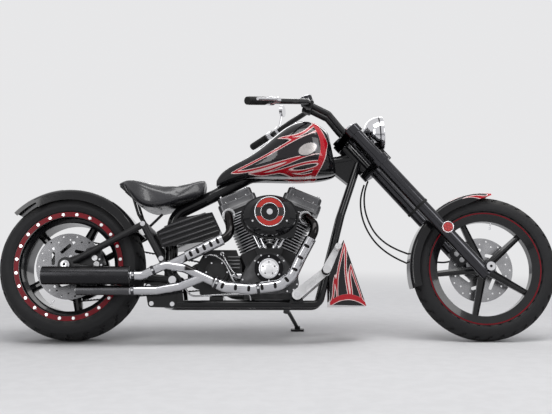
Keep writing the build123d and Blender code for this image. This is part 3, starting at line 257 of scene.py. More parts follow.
def hoop(name: str, at: Point, radius: float, thick: float, lie: Lie, sides: int) -> Piece:
    """Adds a round ring.

    Args:
        name: the piece's name.
        at: its middle.
        radius: from its axis to the middle of its section.
        thick: the radius of its section.
        lie: the direction of its axis.
        sides: how many segments it has round its axis.

    Returns:
        The new object.
    """
    clear()
    bpy.ops.mesh.primitive_torus_add(
        major_segments=sides, minor_segments=10, major_radius=radius, minor_radius=thick,
        location=at, rotation=lie.value,
    )
    return settle(bpy.context.active_object, name)


def block(name: str, at: Point, size: Point) -> Piece:
    """Adds a box.

    Args:
        name: the piece's name.
        at: its middle.
        size: its full length along X, Y and Z.

    Returns:
        The new object.
    """
    clear()
    bpy.ops.mesh.primitive_cube_add(size=1.0, location=at, scale=size)
    return settle(bpy.context.active_object, name)


def apply(obj: Piece, kind: str, **settings: object) -> None:
    """Adds a modifier with its settings and applies it.

    Args:
        obj: the piece.
        kind: the modifier's type.
        settings: its settings by name.
    """
    focus(obj)
    modifier = obj.modifiers.new(kind.lower(), kind)
    for name, value in settings.items():
        setattr(modifier, name, value)
    bpy.ops.object.modifier_apply(modifier=modifier.name)


def soften(obj: Piece, width: float, segments: int = 2, sharper: float = 40.0) -> None:
    """Rounds the edges where two faces meet at more than an angle, in degrees."""
    angle = math.radians(sharper)
    apply(obj, "BEVEL", width=width, segments=segments, limit_method="ANGLE", angle_limit=angle)


def sink(obj: Piece, test: FaceTest, border: float, depth: float) -> None:
    """Leaves a border round some faces and pushes the rest in.

    Args:
        obj: the piece.
        test: chooses the faces.
        border: the width of the border.
        depth: how far the middle goes in; below zero it stands out.
    """
    pick(obj, test)
    with editing(obj):
        if border > 0:
            bpy.ops.mesh.inset(thickness=border)
        bpy.ops.mesh.extrude_region_shrink_fatten(
            MESH_OT_extrude_region={}, TRANSFORM_OT_shrink_fatten={"value": -depth}
        )


def smooth(obj: Piece, angle: float) -> None:
    """Shades a piece smooth across angles up to one given in degrees."""
    focus(obj)
    bpy.ops.object.shade_smooth_by_angle(angle=math.radians(angle))


def twin(obj: Piece, matrix: Matrix) -> Piece:
    """Copies a piece with its own mesh to another place.

    Args:
        obj: the piece to copy.
        matrix: where the copy goes, from the place of the first.

    Returns:
        The copy.
    """
    copy = obj.copy()
    copy.data = obj.data.copy()
    copy.data.transform(matrix)
    if matrix.determinant() < 0:
        copy.data.flip_normals()
    bpy.context.scene.collection.objects.link(copy)
    return copy


def merge(pieces: Sequence[Piece], name: str) -> Piece:
    """Joins pieces of one finish into one object.

    Args:
        pieces: the objects to join.
        name: the name of the whole.

    Returns:
        The joined object.
    """
    clear()
    for piece in pieces:
        piece.select_set(True)
    bpy.context.view_layer.objects.active = pieces[0]
    if len(pieces) > 1:
        bpy.ops.object.join()
    pieces[0].name = name
    return pieces[0]


def sprinkle(master: Piece, places: Sequence[Matrix], name: str) -> Piece:
    """Puts a copy of one small piece, drawn at the origin, at each place and joins them.

    Args:
        master: the piece, drawn at the origin along +Z.
        places: where the copies go.
        name: the name of the joined copies.

    Returns:
        The joined copies; the master is removed.
    """
    copies = [twin(master, place) for place in places]
    bpy.data.objects.remove(master)
    return merge(copies, name)


def facing(at: Point | Vector, out: Point | Vector) -> Matrix:
    """The matrix of a place whose +Z looks along a direction."""
    turn = Vector(UP).rotation_difference(Vector(out).normalized()).to_matrix().to_4x4()
    return Matrix.Translation(Vector(at)) @ turn


def step(obj: Piece, border: float, depth: float, out: Point = UP) -> None:
    """Sinks or raises the middle of the face that lies furthest out along a direction.

    Args:
        obj: the piece.
        border: the width of the border that stays.
        depth: how far the middle goes in; below zero it stands out.
        out: the direction, which the face looks along.
    """
    way = Vector(out)
    level = max(vertex.co.dot(way) for vertex in obj.data.vertices) - 1e-5
    sink(obj, lambda middle, normal: normal.dot(way) > 0.9 and middle.dot(way) > level, border, depth)


def washer(
    name: str, at: Point, outer: float, inner: float, thick: float, lie: Lie, sides: int
) -> Piece:
    """Models a flat ring by drawing its outer circle, extruding it inward and then through.

    Args:
        name: its plain name.
        at: its middle.
        outer: its outer radius.
        inner: its inner radius.
        thick: its thickness.
        lie: the direction of its axis.
        sides: how many sides it has.

    Returns:
        The ring.
    """
    clear()
    bpy.ops.mesh.primitive_circle_add(
        vertices=sides, radius=outer, fill_type="NOTHING", location=at, rotation=lie.value
    )
    flat = bpy.context.active_object
    share = inner / outer
    along = Vector((0, 0, thick))
    along.rotate(Euler(lie.value))
    with editing(flat, "EDGE"):
        bpy.ops.mesh.select_all(action="SELECT")
        bpy.ops.mesh.extrude_region_move()
        bpy.ops.transform.resize(value=(share, share, share), center_override=at)
        bpy.ops.mesh.select_all(action="SELECT")
        bpy.ops.transform.translate(value=tuple(-along / 2))
        bpy.ops.mesh.extrude_region_move(TRANSFORM_OT_translate={"value": tuple(along)})
        bpy.ops.mesh.select_all(action="SELECT")
        bpy.ops.mesh.normals_make_consistent(inside=False)
    return settle(flat, name)


def hex_bolt(radius: float, height: float) -> Piece:
    """Models a hexagon bolt head on its washer, standing on the origin.

    Args:
        radius: from the middle to a corner.
        height: how high it stands.

    Returns:
        The bolt head.
    """
    head = drum("bolt", (0, 0, height * 0.4), radius, height * 0.8, Lie.Z, 6)
    step(head, radius * 0.14, -height * 0.2)
    skirt = drum("collar", (0, 0, height * 0.09), radius * 1.12, height * 0.18, Lie.Z, 14)
    step(skirt, radius * 0.10, -height * 0.05)
    return merge([head, skirt], "bolt")


def socket_bolt(radius: float, height: float) -> Piece:
    """Models a round bolt head with its socket sunk in, standing on the origin.

    Args:
        radius: its radius.
        height: how high it stands.

    Returns:
        The bolt head.
    """
    head = drum("socket", (0, 0, height * 0.45), radius, height * 0.9, Lie.Z, 12)
    step(head, radius * 0.12, -height * 0.1)
    step(head, radius * 0.34, height * 0.5)
    return head


def dome_bolt(radius: float, height: float) -> Piece:
    """Models a low domed head, standing on the origin.

    Args:
        radius: its radius.
        height: how high it stands.

    Returns:
        The domed head.
    """
    head = drum("dome", (0, 0, height / 4), radius, height / 2, Lie.Z, 14)
    step(head, radius * 0.22, -height * 0.3)
    step(head, radius * 0.30, -height * 0.2)
    return head


def cylinder(side: int) -> Matrix:
    """The frame of the front (1) or rear (-1) cylinder, with its origin at the crank and Z along it."""
    return Matrix.Translation(CRANK) @ Matrix.Rotation(side * CYLINDER_TILT, 4, "Y")


class Value:
    """A number in a node tree, worked with in plain arithmetic."""

    def __init__(self, nodes: Nodes, socket: Socket) -> None:
        """Keeps the tree's helper and the socket that the number comes from."""
        self.nodes = nodes
        self.socket = socket

    def __add__(self, other: float | Value) -> Value:
        """The sum."""
        return self.nodes.math("ADD", self, other)

    def __sub__(self, other: float | Value) -> Value:
        """The difference."""
        return self.nodes.math("SUBTRACT", self, other)

    def __rsub__(self, other: float) -> Value:
        """The difference from a plain number."""
        return self.nodes.math("SUBTRACT", other, self)

    def __mul__(self, other: float | Value) -> Value:
        """The product."""
        return self.nodes.math("MULTIPLY", self, other)

    def __truediv__(self, other: float | Value) -> Value:
        """The quotient."""
        return self.nodes.math("DIVIDE", self, other)

    def __pow__(self, other: float) -> Value:
        """The power."""
        return self.nodes.math("POWER", self, other)

    def __abs__(self) -> Value:
        """The number without its sign."""
        return self.nodes.math("ABSOLUTE", self)

    def at_least(self, low: float | Value) -> Value:
        """The number, or the lowest that it may be."""
        return self.nodes.math("MAXIMUM", self, low)

    def at_most(self, high: float | Value) -> Value:
        """The number, or the highest that it may be."""
        return self.nodes.math("MINIMUM", self, high)

    def joined(self, other: Value, blend: float) -> Value:
        """The greater of two numbers, with a soft change over between them."""
        return self.nodes.math("SMOOTH_MAX", self, other, blend)


class Nodes:
    """Adds and joins the nodes of one tree."""

    def __init__(self, tree: bpy.types.NodeTree) -> None:
        """Keeps the tree that the nodes go into."""
        self.tree = tree

    def add(
        self, kind: str, *values: object, settings: dict[str, object] | None = None, **inputs: object
    ) -> bpy.types.Node:
        """Adds a node and fills or joins its inputs.

        Args:
            kind: Blender's name of the node type, after its first word.
            values: values or sockets for the first inputs, in order.
            settings: the node's own settings by name.
            inputs: values or sockets by input name, with spaces as underscores.

        Returns:
            The new node.
        """
        node = self.tree.nodes.new(f"ShaderNode{kind}")
        for name, setting in (settings or {}).items():
            setattr(node, name, setting)
        for socket, value in zip(node.inputs, values):
            self.feed(socket, value)
        for name, value in inputs.items():
            self.feed(node.inputs[name.replace("_", " ")], value)
        return node

    def feed(self, socket: Socket, value: object) -> None:
        """Joins a socket to another, or sets its value.

        Args:
            socket: the input to fill.
            value: a number of this tree, an output socket or a plain value.
        """
        source = value.socket if isinstance(value, Value) else value
        if isinstance(source, Socket):
            self.tree.links.new(source, socket)
        else:
            socket.default_value = source

    def math(self, operation: str, *values: object) -> Value:
        """Adds one arithmetic step, such as SINE, on its one to three numbers."""
        return Value(self, self.add("Math", *values, settings={"operation": operation}).outputs[0])

    def ramp(self, value: object, low: float, high: float, start: float = 0.0, end: float = 1.0) -> Value:
        """Maps a number smoothly, so that low gives start and high gives end."""
        steps = {"interpolation_type": "SMOOTHSTEP"}
        return Value(self, self.add("MapRange", value, low, high, start, end, settings=steps).outputs[0])

    def mix(self, mask: object, first: object, second: object) -> Socket:
        """Mixes two colours by a mask.

        Args:
            mask: 0 gives the first colour, 1 the second.
            first: a colour socket or plain colour.
            second: a colour socket or plain colour.

        Returns:
            The mixed colour.
        """
        node = self.add("Mix", mask, settings={"data_type": "RGBA"})
        for socket, colour in zip(node.inputs[6:8], (first, second)):
            self.feed(socket, (*colour, 1.0) if isinstance(colour, tuple) else colour)
        return node.outputs[2]

    def bump(self, surface: bpy.types.Node, height: object, strength: float, distance: float) -> None:
        """Feeds a shader's normal from a height, by its strength and its reach in metres."""
        bump = self.add("Bump", Strength=strength, Distance=distance, Height=height)
        self.feed(surface.inputs["Normal"], bump.outputs["Normal"])

    def upright(self) -> Socket:
        """The place on a piece in the upright drawing, in metres, from its Object coordinates."""
        back = STANCE.matrix.inverted()
        place = self.add("TexCoord").outputs["Object"]
        mapping = self.add("Mapping", Vector=place, Location=back.translation, Rotation=back.to_euler())
        return mapping.outputs["Vector"]

    def split(self, vector: Socket) -> tuple[Value, ...]:
        """The X, Y and Z of a vector."""
        return tuple(Value(self, socket) for socket in self.add("SeparateXYZ", Vector=vector).outputs)

    def distance(self, across: Value, over: Value) -> Value:
        """How far a place lies from an axis, from its two offsets."""
        return self.math("SQRT", across * across + over * over)


@dataclass(frozen=True)
class Effect:
    """A shared effect, kept as one node group that many finishes use."""

    name: str
    inputs: dict[str, float | Point]
    outputs: tuple[str, ...]
    rule: Callable[[Nodes, dict[str, Value]], Sequence[Value]]

    def tree(self) -> bpy.types.NodeTree:
        """Builds the effect's group the first time it is asked for.

        Returns:
            The node group.
        """
        if self.name in bpy.data.node_groups:
            return bpy.data.node_groups[self.name]
        tree = bpy.data.node_groups.new(self.name, "ShaderNodeTree")
        for label, value in self.inputs.items():
            kind = "NodeSocketVector" if isinstance(value, tuple) else "NodeSocketFloat"
            socket = tree.interface.new_socket(label, in_out="INPUT", socket_type=kind)
            socket.default_value = value
        for label in self.outputs:
            tree.interface.new_socket(label, in_out="OUTPUT", socket_type="NodeSocketFloat")
        nodes = Nodes(tree)
        sockets = tree.nodes.new("NodeGroupInput").outputs
        given = {label: Value(nodes, sockets[label]) for label in self.inputs}
        result = tree.nodes.new("NodeGroupOutput")
        for label, value in zip(self.outputs, self.rule(nodes, given)):
            nodes.feed(result.inputs[label], value)
        return tree

    def place(self, nodes: Nodes, **inputs: object) -> list[Value]:
        """Puts the effect into a material, fed by input name, and gives its results."""
        node = nodes.add("Group", settings={"node_tree": self.tree()}, **inputs)
        return [Value(nodes, socket) for socket in node.outputs]


def speckle_rule(nodes: Nodes, given: dict[str, Value]) -> list[Value]:
    """Soft uneven handling marks and fine grain, used on nearly every finish.

    Args:
        nodes: the group's nodes.
        given: the group's inputs by name.

    Returns:
        The cloud and the grain.
    """
    place = given["Vector"]
    cloud = nodes.add("TexNoise", Vector=place, Scale=given["Cloud Scale"], Detail=4.0)
    grain = nodes.add("TexNoise", Vector=place, Scale=given["Grain Scale"], Detail=2.0)
    return [nodes.ramp(cloud.outputs[0], 0.32, 0.68), Value(nodes, grain.outputs[0])]


def dust_rule(nodes: Nodes, given: dict[str, Value]) -> list[Value]:
    """A thin film of dust that gathers on faces that look up."""
    up = nodes.split(nodes.add("NewGeometry").outputs["Normal"])[2]
    return [nodes.ramp(up, 0.35, 1.0) * given["Cloud"] * given["Amount"]]


def wear_rule(nodes: Nodes, given: dict[str, Value]) -> list[Value]:
    """Edges rubbed bright, from how sharply the surface turns."""
    sharp = nodes.add("NewGeometry").outputs["Pointiness"]
    return [nodes.ramp(sharp, 0.53, 0.62) * (given["Cloud"] + 0.35) * given["Amount"]]


def lick_rule(nodes: Nodes, given: dict[str, Value]) -> list[Value]:
    """One tongue of a flame: how far inside it a place lies, in metres.

    Args:
        nodes: the group's nodes.
        given: the group's inputs by name.

    Returns:
        The distance from the tongue's edge, below zero outside it.
    """
    along, length = given["Along"], given["Length"]
    share = along.at_least(0.0) / length
    taper = (1.0 - share).at_least(0.0) ** 0.62 * given["Width"]
    wave = nodes.math("SINE", share * 5.2 + given["Phase"]) * given["Curl"]
    line = given["Rise"] * share + given["Root"] + wave
    beyond = (along - length).at_least(0.0)
    ahead = along.at_most(0.0) * 4.0
    return [taper - abs(given["Height"] - line) - beyond + ahead]


SPECKLE = Effect(
    "surface speckle", {"Vector": (0.0, 0.0, 0.0), "Cloud Scale": 18.0, "Grain Scale": 500.0},
    ("Cloud", "Grain"), speckle_rule,
)
DUST = Effect("settled dust", {"Amount": 0.2, "Cloud": 0.5}, ("Mask",), dust_rule)
WEAR = Effect("rubbed edge", {"Amount": 0.5, "Cloud": 0.5}, ("Mask",), wear_rule)
LICK_INPUTS = ("Along", "Height", "Root", "Rise", "Curl", "Phase", "Length", "Width")
LICK = Effect("flame lick", dict.fromkeys(LICK_INPUTS, 0.1), ("Inside",), lick_rule)


@dataclass(frozen=True)
class Finish:
    """A painted, plated, cast or moulded surface with its uneven gloss, grain, rubbed edges and dust."""

    name: str
    colour: Colour
    roughness: float = 0.35
    metallic: float = 0.0
    coat: float = 0.0
    coat_roughness: float = 0.04
    unevenness: float = 0.10
    shade: float = 0.18
    grain: float = 0.0
    grain_scale: float = 500.0
    grain_depth: float = 0.0006
    rubbed: float = 0.0
    rubbed_colour: Colour = (0.32, 0.32, 0.33)
    dust: float = 0.05
    dust_colour: Colour = (0.30, 0.29, 0.27)
    transmission: float = 0.0
    specular: float = 0.5

    def material(self) -> bpy.types.Material:
        """Builds the material of this finish the first time it is asked for.

        Returns:
            The material.
        """
        if self.name in bpy.data.materials:
            return bpy.data.materials[self.name]
        material = bpy.data.materials.new(self.name)
        material.use_nodes = True
        material.node_tree.nodes.clear()
        nodes = Nodes(material.node_tree)
        surface = nodes.add(
            "BsdfPrincipled", Metallic=self.metallic, Coat_Weight=self.coat,
            Coat_Roughness=self.coat_roughness, Transmission_Weight=self.transmission,
            Specular_IOR_Level=self.specular,
        )
        nodes.add("OutputMaterial", Surface=surface.outputs[0])
        self.dress(nodes, surface)
        return material

    def dress(self, nodes: Nodes, surface: bpy.types.Node) -> None:
        """Feeds the shader's colour, roughness and normal.

        Args:
            nodes: the material's nodes.
            surface: its shader.
        """
        place = nodes.upright()
        cloud, grain = SPECKLE.place(nodes, Vector=place, Grain_Scale=self.grain_scale)
        wear = WEAR.place(nodes, Amount=self.rubbed, Cloud=cloud)[0]
        dust = DUST.place(nodes, Amount=self.dust, Cloud=cloud)[0]
        colour = nodes.mix((1.0 - cloud) * self.shade, self.paint(nodes, place), (0.0, 0.0, 0.0))
        colour = nodes.mix(wear, colour, self.rubbed_colour)
        nodes.feed(surface.inputs["Base Color"], nodes.mix(dust, colour, self.dust_colour))
        low = max(self.roughness - self.unevenness / 2, 0.02)
        gloss = nodes.ramp(cloud, 0.0, 1.0, low, low + self.unevenness)
        nodes.feed(surface.inputs["Roughness"], gloss + dust * 0.5)
        if self.grain > 0:
            nodes.bump(surface, grain, self.grain, self.grain_depth)

    def paint(self, nodes: Nodes, place: Socket) -> object:
        """The finish's colour before shade, wear and dust, plain unless a kind of finish says otherwise."""
        return self.colour


@dataclass(frozen=True)
class Lick:
    """One tongue of the flames, in metres over its panel."""

    root: float
    rise: float
    curl: float
    phase: float
    length: float
    width: float


@dataclass(frozen=True)
class FlamePaint(Finish):
    """Gloss black with red flame tongues, each with a pale outline and a dark heart."""

    colour: Colour = (0.006, 0.006, 0.007)
    roughness: float = 0.09
    coat: float = 0.35
    unevenness: float = 0.03
    shade: float = 0.0
    dust: float = 0.01
    specular: float = 0.15
    licks: tuple[Lick, ...] = ()
    start: float = 0.0
    red: Colour = (0.37, 0.006, 0.014)
    pale: Colour = (0.66, 0.50, 0.49)
    ember: Colour = (0.008, 0.006, 0.008)
    outline: float = 0.0030
    band: float = 0.0140
    base: float = 0.018
    stripe: float = 0.011
    middle: float = 0.0
    bend: float = 0.0
    root_blend: float = 0.022
    lick_blend: float = 0.018
    blur: float = 0.0005
    heart_blur: float = 0.0015
    base_blur: float = 0.002

    def paint(self, nodes: Nodes, place: Socket) -> object:
        """Paints black, outline, red band and dark heart by how far inside the tongues a place lies.

        Args:
            nodes: the material's nodes.
            place: the place in the upright drawing.

        Returns:
            The colour.
        """
        along, height = self.panel(nodes, place)
        off = height - self.middle
        along = along - off * off * self.bend
        fields = []
        for lick in self.licks:
            sizes = {name.title(): size for name, size in asdict(lick).items()}
            fields.append(LICK.place(nodes, Along=along, Height=height, **sizes)[0])
        heart = fields[0]
        inside = (self.stripe - abs(along)).joined(heart, self.root_blend)
        for tongue in fields[1:]:
            inside = inside.joined(tongue, self.lick_blend)
            heart = heart.at_least(tongue)
        rim = self.band - self.outline * 0.8
        behind = nodes.ramp(along, self.base, self.base + self.base_blur)
        edge = nodes.ramp(heart, rim, rim + self.blur) * behind
        hollow = nodes.ramp(heart, self.band, self.band + self.heart_blur) * behind
        colour = nodes.mix(nodes.ramp(inside, 0.0, self.blur), self.colour, self.pale)
        colour = nodes.mix(nodes.ramp(inside, self.outline, self.outline + self.blur), colour, self.red)
        return nodes.mix(hollow, nodes.mix(edge, colour, self.pale), self.ember)

    def panel(self, nodes: Nodes, place: Socket) -> tuple[Value, Value]:
        """How far back from the flames' start a place is, and its height, on an upright side panel."""
        x, _, z = nodes.split(place)
        return self.start - x, z


@dataclass(frozen=True)
class RisingFlames(FlamePaint):
    """The same flames, rising from the bottom of a panel."""

    def panel(self, nodes: Nodes, place: Socket) -> tuple[Value, Value]:
        """Height over the panel's lower edge, and how far forward the place is."""
        x, _, z = nodes.split(place)
        return z - self.start, x


@dataclass(frozen=True)
class FenderFlames(FlamePaint):
    """The same flames, swept back round a wheel from a fender's tip."""

    skin: float = 0.338

    def panel(self, nodes: Nodes, place: Socket) -> tuple[Value, Value]:
        """Measures a place on the fender.

        Args:
            nodes: the material's nodes.
            place: the place in the upright drawing.

        Returns:
            How far back round the wheel from the tip it is, and how far from the fender's middle line.
        """
        x, y, z = nodes.split(place)
        ahead = x - STANCE.wheelbase
        over = z - STANCE.front_axle
        angle = nodes.math("ARCTAN2", ahead * -1.0, over)
        skirt = (self.skin - nodes.distance(ahead, over)).at_least(0.0)
        return (angle - self.start) * self.skin, abs(y) + skirt


class FinShape(Enum):
    """The outline of a finned casting."""

    ROUND = "round"
    SQUARE = "square"


@dataclass(frozen=True)
class FinFinish(Finish):
    """Black finned casting whose rims are machined bright."""

    shape: FinShape = FinShape.ROUND
    rim: float = 0.0750
    half: tuple[float, float] = (0.088, 0.079)
    bright: Colour = (0.60, 0.60, 0.62)

    def paint(self, nodes: Nodes, place: Socket) -> object:
        """Paints the outer rim of the nearer cylinder's fins bright.

        Args:
            nodes: the material's nodes.
            place: the place in the upright drawing.

        Returns:
            The colour.
        """
        x, y, z = nodes.split(place)
        reaches = []
        for side in (1, -1):
            turn = side * CYLINDER_TILT
            across = (x - CRANK[0]) * math.cos(turn) - (z - CRANK[2]) * math.sin(turn)
            if self.shape is FinShape.ROUND:
                reaches.append(nodes.distance(across, y) / self.rim)
            else:
                reaches.append((abs(across) / self.half[0]).at_least(abs(y) / self.half[1]))
        nearer = reaches[0].at_most(reaches[1])
        return nodes.mix(nodes.ramp(nearer, 0.975, 0.995), self.colour, self.bright)


@dataclass(frozen=True)
class DiscFinish(Finish):
    """Ground steel whose fine turning marks run round the axle."""

    wheel: Body = Body.REAR_WHEEL
    ring_scale: float = 900.0

    def dress(self, nodes: Nodes, surface: bpy.types.Node) -> None:
        """Adds rings of fine scratches to the plain dressing.

        Args:
            nodes: the material's nodes.
            surface: its shader.
        """
        super().dress(nodes, surface)
        x, _, z = nodes.split(nodes.upright())
        axle = STANCE.axle(self.wheel, 0.0)
        radius = nodes.distance(x - axle[0], z - axle[2])
        rings = nodes.add("TexNoise", settings={"noise_dimensions": "1D"}, W=radius, Scale=self.ring_scale)
        nodes.bump(surface, rings.outputs[0], 0.06, 0.0003)


@dataclass(frozen=True)
class LeatherFinish(Finish):
    """Smooth dark leather with a pebbled grain."""

    pebble_scale: float = 420.0

    def dress(self, nodes: Nodes, surface: bpy.types.Node) -> None:
        """Adds leather pebbles to the plain dressing.

        Args:
            nodes: the material's nodes.
            surface: its shader.
        """
        super().dress(nodes, surface)
        edges = {"feature": "DISTANCE_TO_EDGE"}
        pebbles = nodes.add("TexVoronoi", settings=edges, Vector=nodes.upright(), Scale=self.pebble_scale)
        nodes.bump(surface, nodes.ramp(pebbles.outputs["Distance"], 0.0, 0.22), 0.12, 0.0004)


@dataclass(frozen=True)
class TwoToneFinish(Finish):
    """A finish that changes colour at a height over the ground."""

    low_colour: Colour = (0.5, 0.5, 0.52)
    divide: float = 0.238
    blur: float = 0.001

    def paint(self, nodes: Nodes, place: Socket) -> object:
        """The lower colour under the dividing height, the upper one over it."""
        height = nodes.split(place)[2]
        over = nodes.ramp(height, self.divide - self.blur, self.divide + self.blur)
        return nodes.mix(over, self.low_colour, self.colour)


@dataclass(frozen=True)
class RoundFinish(Finish):
    """A finish with a brighter round middle on an upright face."""

    middle: tuple[float, float] = (0.0, 0.0)
    radius: float = 0.04
    middle_colour: Colour = (0.72, 0.72, 0.74)
    blur: float = 0.0008

    def paint(self, nodes: Nodes, place: Socket) -> object:
        """The middle's colour inside the circle, the plain one outside."""
        x, _, z = nodes.split(place)
        away = nodes.distance(x - self.middle[0], z - self.middle[1])
        outside = nodes.ramp(away, self.radius, self.radius + self.blur)
        return nodes.mix(outside, self.middle_colour, self.colour)


@dataclass(frozen=True)
class ArcFinish(Finish):
    """Enamel on the upper and the lower arc of a ring, dark at its sides."""

    middle: float = 0.0
    reach: float = 0.018
    blur: float = 0.002
    sides: Colour = (0.020, 0.016, 0.016)

    def paint(self, nodes: Nodes, place: Socket) -> object:
        """The enamel away from the middle height, the dark colour near it."""
        away = abs(nodes.split(place)[2] - self.middle)
        return nodes.mix(nodes.ramp(away, self.reach, self.reach + self.blur), self.sides, self.colour)


@dataclass(frozen=True)
class ShieldedPipeFinish(Finish):
    """Plated pipe that is painted darker where the heat shields cover it."""

    # The darker colour painted on the pipe where the shields cover it.
    sooty: Colour = (0.020, 0.019, 0.019)
    covered: float = 0.647
    rear_covered: float = 0.526
    rear_height: float = 0.300
    blur: float = 0.012

    def paint(self, nodes: Nodes, place: Socket) -> object:
        """Dark under the lower shield, and under the upper one over its height."""
        x, _, z = nodes.split(place)
        ahead = nodes.ramp(x, self.covered - self.blur, self.covered)
        behind = nodes.ramp(x, self.rear_covered - self.blur, self.rear_covered)
        high = nodes.ramp(z, self.rear_height - self.blur / 3, self.rear_height)
        return nodes.mix(ahead.at_least(behind * high), self.colour, self.sooty)


@dataclass(frozen=True)
class Palette:
    """Every finish on the machine."""

    gloss_black: Finish = Finish(
        "gloss black paint", (0.006, 0.006, 0.007), 0.10, coat=0.35, unevenness=0.05, dust=0.02, specular=0.15
    )
    satin_black: Finish = Finish(
        "satin black coat", (0.012, 0.012, 0.013), 0.38, grain=0.12, dust=0.04, specular=0.25
    )
    engine_black: Finish = Finish(
        "wrinkle black case", (0.014, 0.014, 0.015), 0.42, grain=0.30, grain_scale=900.0, rubbed=0.2,
        specular=0.3,
    )
    rocker_grey: Finish = Finish(
        "grey rocker paint", (0.10, 0.10, 0.105), 0.30, metallic=0.6, rubbed=0.4,
        rubbed_colour=(0.5, 0.5, 0.5),
    )
    chrome: Finish = Finish(
        "chrome plate", (0.72, 0.72, 0.74), 0.07, metallic=1.0, unevenness=0.05, shade=0.05
    )
    satin_chrome: Finish = Finish(
        "satin chrome", (0.56, 0.56, 0.58), 0.12, metallic=1.0, shade=0.10, grain=0.04
    )
    dark_chrome: Finish = Finish(
        "dark plate", (0.055, 0.055, 0.060), 0.13, metallic=1.0, unevenness=0.08, shade=0.1
    )
    steel: Finish = Finish("bright steel", (0.50, 0.50, 0.51), 0.25, metallic=1.0, grain=0.06, shade=0.12)
    rubber: Finish = Finish("black rubber", (0.010, 0.010, 0.010), 0.62, grain=0.25, dust=0.08, specular=0.2)
    tyre: Finish = Finish(
        "tyre rubber", (0.014, 0.014, 0.015), 0.70, grain=0.25, grain_scale=700.0, dust=0.22, specular=0.25
    )
    red_glass: Finish = Finish("red lens", (0.36, 0.006, 0.008), 0.08, coat=1.0, unevenness=0.03)
    # The facets' lighter red, beside the red lens, is a painted highlight.
    lens_facet: Finish = Finish("lens facets", (0.56, 0.030, 0.030), 0.10, coat=0.8, unevenness=0.03)
    clear_glass: Finish = Finish(
        "clear lens", (0.92, 0.94, 0.95), 0.03, transmission=0.9, unevenness=0.02, shade=0.02, dust=0.0
    )
    mufflers: TwoToneFinish = TwoToneFinish(
        "silencer coats", (0.030, 0.030, 0.032), 0.26, metallic=1.0, shade=0.0,
        low_colour=(0.095, 0.095, 0.100),
    )
    wheel_black: Finish = Finish(
        "wheel black", (0.008, 0.008, 0.009), 0.14, coat=0.4, unevenness=0.06, dust=0.03, specular=0.2
    )
    belt: Finish = Finish("belt rubber", (0.012, 0.012, 0.012), 0.55, grain=0.3, dust=0.08, specular=0.25)
    dial: Finish = Finish("dial face", (0.75, 0.74, 0.70), 0.45, unevenness=0.05, dust=0.0)
    barrels: FinFinish = FinFinish(
        "finned barrel", (0.012, 0.012, 0.013), 0.36, grain=0.2, specular=0.3, shape=FinShape.ROUND
    )
    heads: FinFinish = FinFinish(
        "finned head", (0.012, 0.012, 0.013), 0.36, grain=0.2, specular=0.3, shape=FinShape.SQUARE
    )
    ring_red: ArcFinish = ArcFinish(
        "ring red enamel", (0.36, 0.016, 0.010), 0.22, coat=0.3, specular=0.3, unevenness=0.04, shade=0.0,
        middle=AIR_CLEANER[2],
    )
    plate: Finish = Finish(
        "badge plate", (0.50, 0.47, 0.46), 0.30, metallic=0.6, unevenness=0.06, grain=0.04
    )
    rim_red: Finish = Finish("rim red enamel", (0.16, 0.003, 0.009), 0.34, unevenness=0.06, specular=0.15)
    bright: Finish = Finish(
        "bright bolt plate", (0.86, 0.86, 0.87), 0.24, metallic=0.6, unevenness=0.05, shade=0.05
    )
    bright_alloy: Finish = Finish(
        "bright cast alloy", (0.66, 0.66, 0.665), 0.36, metallic=0.45, grain=0.10, grain_scale=900.0,
        rubbed=0.2, rubbed_colour=(0.8, 0.8, 0.8),
    )
    rib_black: Finish = Finish(
        "ribbed black gloss", (0.020, 0.020, 0.022), 0.20, coat=0.4, unevenness=0.06, specular=0.3
    )
    timer: RoundFinish = RoundFinish(
        "timer cover", (0.016, 0.016, 0.017), 0.12, metallic=1.0, unevenness=0.05, shade=0.0, middle=TIMER,
        radius=0.0432,
    )
    pipes: ShieldedPipeFinish = ShieldedPipeFinish(
        "header pipe", (0.52, 0.52, 0.54), 0.12, metallic=1.0, unevenness=0.08, shade=0.0, grain=0.04
    )
    # The two discs are one steel: the rear disc's darker colour is painted shade, and the front disc's
    # lighter colour is painted light.
    rear_disc: DiscFinish = DiscFinish(
        "rear disc steel", (0.13, 0.13, 0.135), 0.24, metallic=1.0, dust=0.0, unevenness=0.03
    )
    # Lighter than the rear disc as painted light.
    front_disc: DiscFinish = DiscFinish(
        "front disc steel", (0.36, 0.36, 0.37), 0.26, metallic=1.0, dust=0.0, unevenness=0.03,
        wheel=Body.FRONT_WHEEL,
    )
    leather: LeatherFinish = LeatherFinish(
        "seat leather", (0.020, 0.020, 0.023), 0.27, coat=0.30, unevenness=0.04, shade=0.04, dust=0.02
    )
    tank: FlamePaint = FlamePaint(
        "tank flames", roughness=0.07, coat=0.45, start=1.126, outline=0.0032, middle=0.852, bend=3.2,
        licks=(
            Lick(0.872, -0.118, 0.008, 0.4, 0.385, 0.066),
            Lick(0.938, -0.058, 0.012, 2.2, 0.205, 0.024),
            Lick(0.798, -0.056, 0.012, 1.0, 0.300, 0.030),
            Lick(0.754, -0.020, 0.009, 3.0, 0.190, 0.020),
        ),
    )
    spoiler: RisingFlames = RisingFlames(
        "spoiler flames", start=0.190, middle=1.228, bend=-4.5, band=0.0115, base=0.014,
        licks=(
            Lick(1.164, 0.006, 0.003, 0.2, 0.115, 0.019),
            Lick(1.200, 0.010, 0.006, 2.6, 0.262, 0.034),
            Lick(1.262, -0.022, 0.004, 1.1, 0.150, 0.030),
        ),
    )
    fender: FenderFlames = FenderFlames(
        "fender flames", start=math.radians(-4.5),
        licks=(
            Lick(0.000, 0.000, 0.006, 0.3, 0.260, 0.020),
            Lick(0.048, 0.004, 0.007, 2.6, 0.190, 0.015),
            Lick(0.085, -0.006, 0.005, 0.9, 0.130, 0.012),
        ),
    )


PALETTE = Palette()


